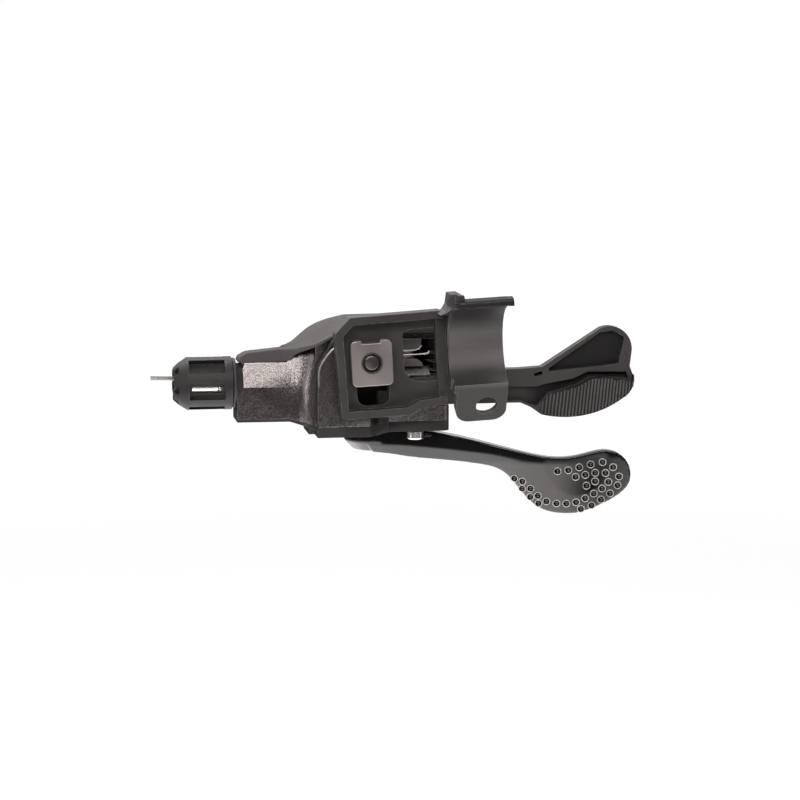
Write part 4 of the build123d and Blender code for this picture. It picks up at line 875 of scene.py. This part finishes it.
LEAN = 0.8


def height_on(line, along):
    """Height of a broken line at one place along it."""
    for (x0, z0), (x1, z1) in zip(line, line[1:]):
        if along < x1:
            return z0 + (z1 - z0) * max(0.0, along - x0) / (x1 - x0)
    return line[-1][1]


def share(value, limits):
    """0 before the first limit, 1 past the second, and straight between them."""
    start, end = limits
    return min(1.0, max(0.0, (value - start) / (end - start)))


def shoulder():
    """Closed slab between the strip and the crown, rounded to the back and left."""
    rings = []
    front = SHOULDER_FRONT - SHOULDER_LAP
    for step in range(SHOULDER_STEPS + 1):
        along = step / SHOULDER_STEPS
        x = SHOULDER_LEFT + SHOULDER_WIDE * along
        back = SHOULDER_FRONT + SHOULDER_DEEP * along + SHOULDER_BULGE * math.sin(math.pi * along)
        top = height_on(COVER_TOP, x) + SHOULDER_RISE * (1.0 - along)
        low = top - SHOULDER_THICK
        rings.append([(x, front, top), (x, back, top), (x, back, low), (x, front, low)])
    return walled("cover_shoulder", rings)


def cover_casting():
    """Cover with its crown falling to the back and the front of its slope drawn down to a crease."""
    mesh = cast("top_cover", COVER_VOXEL, COVER_PASSES, shoulder())
    for vertex in mesh.vertices:
        x, y, z = vertex.co / MM
        if z > CROWN_UNDER:
            fall = CROWN_FALL * (max(0.0, y - CROWN_BREAK) / CROWN_REACH) ** 2
            z = CROWN_UNDER + (z - CROWN_UNDER) * (1.0 - fall)
        under = height_on(COVER_UNDER, x)
        if z > under:
            crease = share(x, CREASE_LEFT) * share(x, CREASE_RIGHT) * share(y, CREASE_FRONT)
            lean = share(x, LEAN_LEFT) * share(y, LEAN_FRONT)
            y += LEAN * lean * (z - under)
            z = under + (z - under) * (1.0 - CREASE_FALL * crease)
        vertex.co = Vector((x, y, z)) * MM
    stand_in(link_piece("top_cover_finished", mesh), "top_cover")


cover_casting()

# Main lever with its dimpled paddle

LEVER_VOXEL, LEVER_PASSES = 0.25, 9
DIMPLES = [
    (22.3, -34.0), (25.1, -33.7), (27.9, -32.9), (30.8, -32.1), (33.8, -31.4), (36.5, -32.7),
    (27.0, -35.5), (29.5, -34.9), (32.0, -34.3), (34.6, -34.3), (38.1, -35.2), (29.8, -37.8),
    (32.0, -36.6), (35.4, -36.7), (37.8, -37.6), (31.7, -39.9), (33.8, -38.5), (35.9, -39.8),
    (29.5, -41.2), (27.2, -42.3), (24.7, -42.7), (22.2, -42.7), (19.6, -42.2), (17.4, -40.7),
    (15.5, -38.8), (13.4, -36.9), (33.6, -41.5), (31.2, -43.1), (28.5, -44.1), (25.8, -44.6),
    (23.1, -44.7), (20.2, -44.2), (17.6, -43.1), (15.5, -41.1), (13.4, -38.9), (11.4, -36.8),
]
DIMPLE_CUP = [
    (0.98, -0.45), (0.96, -0.04), (0.9, 0.04), (0.76, 0.02), (0.68, -0.1),
    (0.56, -0.28), (0.4, -0.43), (0.22, -0.51), (0.06, -0.54),
]
DIMPLE_RIM = [(0.97, -0.05), (0.96, 0.05), (0.9, 0.12), (0.82, 0.13), (0.75, 0.07), (0.72, -0.05)]
DIMPLE_SIDES = 20
DIMPLE_TRIES = 8
DIMPLE_INSET = 0.3
DIMPLE_SPACE = 1.95
DIMPLE_SIZE = 1.1
DIMPLE_DROP, DIMPLE_DEPTH = 0.8, 0.62
DIMPLE_CLEAR = 1.25
EDGE_FACING = -0.74
EDGE_ROOM = 0.75


def dimple_places(skin):
    """Where the dimples sit and face: each moves in from the paddle's edge until it has room."""
    places, facings = [], []
    for x, z in DIMPLES:
        for step in range(DIMPLE_TRIES):
            start = Vector((x, IN_FRONT, z + step * DIMPLE_INSET)) * MM
            hit, normal, _, _ = skin.ray_cast(start, FORWARD)
            below = skin.ray_cast(start - Vector((0.0, 0.0, EDGE_ROOM * MM)), FORWARD)[0]
            if hit is None or below is None or normal.y > EDGE_FACING:
                continue
            if hit.z - cad_box[0][2] < DIMPLE_CLEAR * MM:
                continue
            if all((hit - place).length > DIMPLE_SPACE * MM for place in places):
                places.append(hit)
                facings.append(normal)
            break
    return places, facings


def lever_casting():
    mesh = cast("main_lever", LEVER_VOXEL, LEVER_PASSES)
    places, facings = dimple_places(surface_of(mesh))
    # the skin drops under each dimple, so that the cup can go below it
    for vertex in mesh.vertices:
        for place, facing in zip(places, facings):
            if (vertex.co - place).length < DIMPLE_DROP * MM:
                vertex.co = vertex.co - facing * DIMPLE_DEPTH * MM
                break
    stand_in(link_piece("main_lever_finished", mesh), "main_lever")
    # the dimple rims carry a painted highlight
    for name, profile, closed, finish in (
        ("paddle_dimples", DIMPLE_CUP, True, DIMPLE_GLOSS),
        ("dimple_rims", DIMPLE_RIM, False, HIGHLIGHT_PAINT),
    ):
        dimples = set_out(
            name, profile, DIMPLE_SIDES, closed, places, facings, finish, Size=DIMPLE_SIZE
        )
        place_piece(dimples, "main_lever", finish)


lever_casting()

# Ribs on the thumb pad of the release lever

RIB_COUNT = 28
RIB_FIRST = 20.6
RIB_PITCH = 0.88
RIB_SLANT = 0.10
RIB_STEP = 0.5
RIB_R = 0.29
RIB_FACING = -0.6


def pad_ribs():
    skin = surface_of(NODES["release_pad"].data)
    low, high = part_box("release_pad")
    steps = int((high.z - low.z) / (RIB_STEP * MM))
    points, edges = [], []
    for rib in range(RIB_COUNT):
        last = None
        for step in range(steps):
            up = (step + 0.5) * RIB_STEP * MM
            x = (RIB_FIRST + rib * RIB_PITCH) * MM + RIB_SLANT * up
            start = Vector((x, IN_FRONT * MM, low.z + up))
            hit, normal, _, _ = skin.ray_cast(start, FORWARD)
            if hit is None or normal.y > RIB_FACING:
                last = None
                continue
            points.append(hit)
            if last is not None:
                edges.append((last, len(points) - 1))
            last = len(points) - 1
    rubber = FINISHES["pad_rubber"]
    lines = line_mesh("rib_lines", points, edges)
    ribs = grown("pad_ribs", RIBS, lines, rubber, Rib_Radius=RIB_R * MM)
    place_piece(ribs, "release_lever", rubber)


pad_ribs()

# Return springs and the bare wire

COIL_BENDS = 32
WIRE_R = 0.6
WIRE_SHY, WIRE_END_SHY = 4.0, 0.15
STRANDS, STRAND_BENDS = 6, 10
STRAND_R, STRAND_COIL_R, STRAND_LAY = 0.215, 0.38, 7.0


def spring(node, wire, turns, finish):
    """A round-wire coil in the space of the node's solid."""
    low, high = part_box(node)
    centre = (low + high) / 2
    radius = min(high.x - low.x, high.y - low.y) / 2 - wire * MM
    coil = grown(
        node + "_coil", COIL, bpy.data.meshes.new(node + "_start"), finish,
        Coil_Radius=radius, Turns=turns, Height=high.z - low.z - 2.0 * wire * MM,
        Wire_Radius=wire * MM, Strands=1, Bends=COIL_BENDS,
    )
    coil.data.transform(Matrix.Translation((centre.x, centre.y, low.z + wire * MM)))
    stand_in(coil, node, finish)


def bare_wire():
    """Twisted strands along the cable run, in place of its solid, with a mesh of its own."""
    low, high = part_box("cable_run")
    middle = (low.y + high.y) / 2
    start_point = Vector((high.x - WIRE_SHY * MM, middle, low.z + WIRE_R * MM))
    end_point = Vector((low.x + WIRE_END_SHY * MM, middle, high.z - WIRE_R * MM))
    run = end_point - start_point
    wire = grown(
        "bare_wire", COIL, bpy.data.meshes.new("wire_start"), WIRE_STEEL,
        Coil_Radius=STRAND_COIL_R * MM, Turns=run.length / (STRAND_LAY * MM), Height=run.length,
        Wire_Radius=STRAND_R * MM, Strands=STRANDS, Bends=STRAND_BENDS,
    )
    wire.data.transform(facing_matrix(start_point, run))
    stand_in(wire, "cable_run", WIRE_STEEL)
    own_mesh(wire)


spring("winder_spring", 0.5, 2.5, FINISHES["steel"])
spring("lever_spring", 0.4, 1.2, FINISHES["steel"])
spring("release_spring", 0.42, 2.8, SPRING_BLACK)
bare_wire()

# Adjuster's seal ring, and the steel that shows in the knob's three slots

SEAL_PROFILE = [
    (3.3, -1.7), (5.2, -1.7), (5.2, 0.05), (6.3, 0.05), (6.6, 0.25), (6.6, 0.8), (6.3, 1.0), (3.3, 1.0),
]
SEAL_SIDES = 64
SLOT_COUNT = 3
SLOT_TURN = -13.0
SLOT_FROM_KNOB = 6.65
SLOT_HALF = 3.9
SLOT_SECTION = [
    (-0.88, 3.35), (0.88, 3.35), (0.88, 4.3), (0.66, 4.52), (0.34, 4.64),
    (0.0, 4.68), (-0.34, 4.64), (-0.66, 4.52), (-0.88, 4.3),
]


def dark_ring(name, profile, sides, closed, place, along):
    """Dark turned ring with its axis along one direction, fixed to the body: rubber for the seal, painted
    shadow for the gap around the bolt.
    """
    ring = turned(name, profile, sides, closed)
    ring.data.transform(facing_matrix(place, along))
    ring.data.shade_smooth()
    place_piece(ring, "body", RUBBER_AND_GAP_SHADOW)


def seal_ring():
    middle = middle_of("adjuster_tube")
    neck_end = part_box("housing")[0].x
    place = (neck_end, middle.y, middle.z)
    dark_ring("adjuster_seal", SEAL_PROFILE, SEAL_SIDES, True, place, (-1.0, 0.0, 0.0))


def slot_bars():
    """Rounded bars that fill the slots to just under the floors of the pockets."""
    middle = middle_of("adjuster_knob") / MM
    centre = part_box("adjuster_knob")[1].x / MM - SLOT_FROM_KNOB
    shell = bmesh.new()
    for index in range(SLOT_COUNT):
        turn = math.radians(SLOT_TURN + index * 360.0 / SLOT_COUNT)
        outward = Vector((0.0, -math.cos(turn), math.sin(turn)))
        across = Vector((0.0, math.sin(turn), math.cos(turn)))
        rings = []
        for x in (centre - SLOT_HALF, centre + SLOT_HALF):
            foot = Vector((x, middle.y, middle.z))
            rings.append([foot + across * wide + outward * out for wide, out in SLOT_SECTION])
        add_walls(shell, rings)
    bmesh.ops.recalc_face_normals(shell, faces=shell.faces)
    bars = link_piece("slot_bars", mesh_from(shell, "slot_bars"))
    place_piece(bars, "adjuster_knob", SLOT_STEEL)


seal_ring()
slot_bars()

# Strip, mouldings, spring leg and ledge behind the bracket's window

WINDOW_STRIP = [(-19.5505, -9.1237), (-19.4353, -11.3206), (-9.0495, -10.7763), (-9.1647, -8.5794)]
STRIP_FRONT, STRIP_BACK, STRIP_ROUNDING = 17.5, 18.0, 0.12
UPPER_MOULDING = [(-18.7, 0.6), (-18.7, -2.3), (-14.3, -2.3), (-13.2, -1.9), (-12.6, -1.0), (-12.5, 0.6)]
LOWER_MOULDING = [(-18.7, -4.7), (-18.7, -6.7), (-12.0, -6.7), (-12.3, -5.7), (-13.1, -5.0), (-14.2, -4.7)]
MOULDING_FRONT, MOULDING_BACK, MOULDING_ROUNDING = 23.6, 28.4, 0.18
UPPER_LIP = [(-18.7, -2.4), (-15.4, -2.4), (-14.2, -2.3), (-13.1, -1.9), (-12.5, -1.0)]
LIP_R = 0.26
SPRING_LEG = [(-18.7, -3.6), (-14.0, -3.55), (-11.4, -3.4), (-10.6, -3.2), (-10.3, -2.6)]
LEG_DEPTH, LEG_R = 24.2, 0.24
LEDGE_SECTION = [(21.6, -8.5), (24.6, -6.6), (24.6, -9.0), (21.6, -9.0)]
LEDGE_ENDS = (-18.2, -10.4)
LEDGE_ROUNDING = 0.15


def fitting(name, rings, rounding, finish):
    """Closed shape with rounded edges, fixed to the body."""
    place_piece(link_piece(name, walled(name, rings, rounding)), "body", finish)


def slab(name, outline, front, back, rounding, finish):
    """Fitting with one outline in X and Z between two depths."""
    rings = [[(x, depth, z) for x, z in outline] for depth in (front, back)]
    fitting(name, rings, rounding, finish)


def bead(name, line, depth, radius, finish):
    """A round bead along a line in X and Z at one depth."""
    start = line_mesh(name + "_line", [Vector((x, depth, z)) * MM for x, z in line])
    place_piece(grown(name, RIBS, start, finish, Rib_Radius=radius * MM), "body", finish)


def window_fittings():
    slab(
        "window_strip", WINDOW_STRIP, STRIP_FRONT, STRIP_BACK, STRIP_ROUNDING, RUBBER_AND_GAP_SHADOW
    )
    for name, outline in (("upper_moulding", UPPER_MOULDING), ("lower_moulding", LOWER_MOULDING)):
        slab(
            name, outline, MOULDING_FRONT, MOULDING_BACK, MOULDING_ROUNDING, INNER_GREY
        )
    # the lip is a painted highlight
    bead("moulding_lip", UPPER_LIP, MOULDING_FRONT, LIP_R, HIGHLIGHT_PAINT)
    bead("spring_leg", SPRING_LEG, LEG_DEPTH, LEG_R, FINISHES["steel"])
    rings = [[(x, y, z) for y, z in LEDGE_SECTION] for x in LEDGE_ENDS]
    fitting("window_ledge", rings, LEDGE_ROUNDING, FINISHES["housing_graphite"])


window_fittings()

# Ridge where the neck's cove meets the boss, in painted highlight

BOSS_RIDGE = [
    (-40.3, -13.6), (-40.5, -11.0), (-40.55, -8.6), (-40.45, -6.8), (-40.05, -5.3),
    (-39.3, -3.9), (-38.3, -2.5), (-37.2, -1.3), (-36.2, -0.4),
]
BOSS_FRONT = 17.5
RIDGE_STEPS = 5
RIDGE_R = 0.36
RIDGE_SINK = 0.12
RIDGE_DIVE, RIDGE_DIVE_STEPS = 0.3, 14


def boss_ridge():
    """Low ridge laid on the boss's own surface, running out at its foot, in painted highlight."""
    skin = surface_of(NODES["housing"].data)
    points = []
    for (x0, z0), (x1, z1) in zip(BOSS_RIDGE, BOSS_RIDGE[1:]):
        for step in range(RIDGE_STEPS):
            along = step / RIDGE_STEPS
            guess = Vector((x0 + (x1 - x0) * along, BOSS_FRONT, z0 + (z1 - z0) * along)) * MM
            hit, normal, _, _ = skin.find_nearest(guess)
            dive = RIDGE_DIVE * max(0.0, 1.0 - len(points) / RIDGE_DIVE_STEPS)
            points.append(hit - normal * (RIDGE_SINK + dive) * MM)
    start = line_mesh("boss_ridge_line", points)
    ridge = grown("boss_ridge", RIBS, start, RIDGE_HIGHLIGHT, Rib_Radius=RIDGE_R * MM)
    place_piece(ridge, "body", RIDGE_HIGHLIGHT)


boss_ridge()

# Painted shadow ring around the bracket bolt, and the screws under the case

BOLT_GAP_SHADOW = [(2.43, -0.3), (2.43, 0.06), (2.62, 0.08), (2.86, 0.02), (2.86, -0.3)]
BOLT_GAP_SHADOW_SIDES = 48
SCREW_PLACES = [(-36.5, 21.6), (-6.9, 30.5), (-38.4, 33.4)]
SCREW_HEAD = [(2.1, -0.1), (2.1, 0.14), (1.95, 0.22), (1.05, 0.22), (1.05, -0.05), (0.4, -0.08)]
SCREW_SIDES = 24


def bolt_ring():
    """Painted shadow: a dark ring in the gap around the bracket bolt, on the front of the nut plate."""
    middle = middle_of("bracket_bolt")
    place = (middle.x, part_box("nut_plate")[0].y, middle.z)
    dark_ring("bolt_ring", BOLT_GAP_SHADOW, BOLT_GAP_SHADOW_SIDES, False, place, (0.0, -1.0, 0.0))


def cover_screws():
    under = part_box("bottom_cover")[0].z
    places = [(x * MM, y * MM, under) for x, y in SCREW_PLACES]
    facings = [(0.0, 0.0, -1.0)] * len(places)
    black = FINISHES["bolt_black"]
    screws = set_out("cover_screws", SCREW_HEAD, SCREW_SIDES, True, places, facings, black)
    place_piece(screws, "body", black)


bolt_ring()
cover_screws()

# Inner pieces keep their solids
for node in (
    "main_axle", "hold_pawl_pin", "drive_plate", "feed_pawl_pin", "feed_pawl", "winder_drum",
    "ratchet_plate", "cable_end", "holding_pawl",
):
    NODES[node].data.materials.clear()
    NODES[node].data.materials.append(FINISHES[SLOT_OF[node]].material)


# Studio, in metres

FLOOR_HALF, FLOOR_LEVEL = 6.0, -0.11
FLOOR_WHITE = 1.04
# The floor by distance from the object: near value, far value, where the change starts and ends
FLOOR_SHADE = (0.85, 0.05, 0.16, 0.45)
FLOOR_SEEN = (0.82, 1.0, 0.16, 0.5)
GLOW_INNER = (0.35, 1.0, 0.04, 0.12)
GLOW_OUTER = (2.3, 0.0, 0.15, 0.26)
WORLD_LIGHT, WORLD_SHOWN = 0.035, 1.0
# How white gloss sees the world, from the sides to the back
BACKDROP = (0.0, 0.9, 0.1, 0.5)
LAMP_COLOUR = (1.0, 0.945, 0.935)
# Name, place, aim, width, height and power
LAMPS = [
    ("front_box", (-0.20, -0.62, 0.46), (-0.02, 0.02, -0.01), 0.80, 0.30, 6.5),
    ("overhead_box", (0.05, 0.12, 0.65), (-0.02, 0.03, -0.01), 0.8, 0.4, 2.5),
    ("left_strip", (-0.70, -0.20, 0.10), (-0.03, 0.02, -0.01), 0.12, 0.5, 1.6),
    ("right_strip", (0.65, -0.25, 0.16), (0.0, 0.02, -0.01), 0.12, 0.5, 1.4),
    ("back_box", (-0.30, 0.45, 0.58), (-0.02, 0.03, -0.01), 0.7, 0.3, 5.0),
]
PHOTO_AZIMUTH, PHOTO_ELEVATION = -9.0, 8.0
PHOTO_RIGHT, PHOTO_UP, PHOTO_AWAY = -21.667 * MM, -12.538 * MM, 0.7
SENSOR, LENS = 36.0, 122.85
CLIP_NEAR, CLIP_FAR = 0.01, 50.0


def studio_floor():
    """White table: its own white is seen, with a soft shadow kept close to the object."""
    mesh = bpy.data.meshes.new("studio_floor")
    corners = [(-1, -1), (1, -1), (1, 1), (-1, 1)]
    mesh.from_pydata(
        [(x * FLOOR_HALF, y * FLOOR_HALF, FLOOR_LEVEL) for x, y in corners], [], [(0, 1, 2, 3)]
    )
    floor = link_piece("studio_floor", mesh)
    paint = bpy.data.materials.new("pale_floor")
    paint.use_nodes = True
    tree = paint.node_tree
    tree.nodes.clear()
    ray = add(tree, "ShaderNodeLightPath")
    place = add(tree, "ShaderNodeTexCoord")["Object"]
    away = add(tree, "ShaderNodeVectorMath", {0: place}, operation="LENGTH")["Value"]
    shade, seen, inner, outer = (
        span(tree, away, *change) for change in (FLOOR_SHADE, FLOOR_SEEN, GLOW_INNER, GLOW_OUTER)
    )
    glow = combined(tree, "MULTIPLY", inner, outer, ray["Is Glossy Ray"])
    shown = combined(tree, "MULTIPLY", seen, ray["Is Camera Ray"])
    matte = add(tree, "ShaderNodeBsdfDiffuse", {"Color": shade})["BSDF"]
    table = add(tree, "ShaderNodeEmission", {"Strength": glow})["Emission"]
    white = add(tree, "ShaderNodeEmission", {"Strength": FLOOR_WHITE})["Emission"]
    lit = add(tree, "ShaderNodeAddShader", {0: matte, 1: table})["Shader"]
    mix = add(tree, "ShaderNodeMixShader", {"Fac": shown, 1: lit, 2: white})["Shader"]
    add(tree, "ShaderNodeOutputMaterial", {"Surface": mix})
    floor.data.materials.append(paint)


def studio_world():
    """Dim all round; seen as white by the camera, through glass and in gloss that faces the back."""
    world = bpy.data.worlds.new("studio")
    world.use_nodes = True
    tree = world.node_tree
    tree.nodes.clear()
    ray = add(tree, "ShaderNodeLightPath")
    way = add(tree, "ShaderNodeTexCoord")["Generated"]
    along = add(tree, "ShaderNodeSeparateXYZ", {"Vector": way})["Y"]
    behind = combined(tree, "MULTIPLY", span(tree, along, *BACKDROP), ray["Is Glossy Ray"])
    seen = combined(tree, "MAXIMUM", ray["Is Camera Ray"], ray["Is Transmission Ray"], behind)
    dim, white = (
        add(tree, "ShaderNodeBackground", {"Color": (1.0, 1.0, 1.0, 1.0), "Strength": strength})
        for strength in (WORLD_LIGHT, WORLD_SHOWN)
    )
    mix = add(
        tree, "ShaderNodeMixShader", {"Fac": seen, 1: dim["Background"], 2: white["Background"]}
    )
    add(tree, "ShaderNodeOutputWorld", {"Surface": mix["Shader"]})
    scene.world = world


def softbox(name, place, aim, width, height, power):
    data = bpy.data.lights.new(name, "AREA")
    data.shape = "RECTANGLE"
    data.size = width
    data.size_y = height
    data.energy = power
    data.color = LAMP_COLOUR
    lamp = bpy.data.objects.new(name, data)
    scene.collection.objects.link(lamp)
    lamp.location = place
    lamp.rotation_euler = (Vector(aim) - Vector(place)).to_track_quat("-Z", "Y").to_euler()


def camera_at_photo():
    """Camera a little left of the front and above it, framed as the photograph."""
    azimuth, elevation = math.radians(PHOTO_AZIMUTH), math.radians(PHOTO_ELEVATION)
    right = Vector((math.cos(azimuth), math.sin(azimuth), 0.0))
    level = Vector((math.sin(azimuth), -math.cos(azimuth), 0.0))
    back = level * math.cos(elevation) + Vector((0.0, 0.0, math.sin(elevation)))
    up = back.cross(right)
    data = bpy.data.cameras.new("photo_camera")
    data.sensor_width = SENSOR
    data.lens = LENS
    data.clip_start = CLIP_NEAR
    data.clip_end = CLIP_FAR
    camera = bpy.data.objects.new("photo_camera", data)
    scene.collection.objects.link(camera)
    camera.location = right * PHOTO_RIGHT + up * PHOTO_UP + back * PHOTO_AWAY
    camera.rotation_mode = "QUATERNION"
    camera.rotation_quaternion = (-back).to_track_quat("-Z", "Y")
    scene.camera = camera


studio_floor()
studio_world()
for lamp_values in LAMPS:
    softbox(*lamp_values)
camera_at_photo()
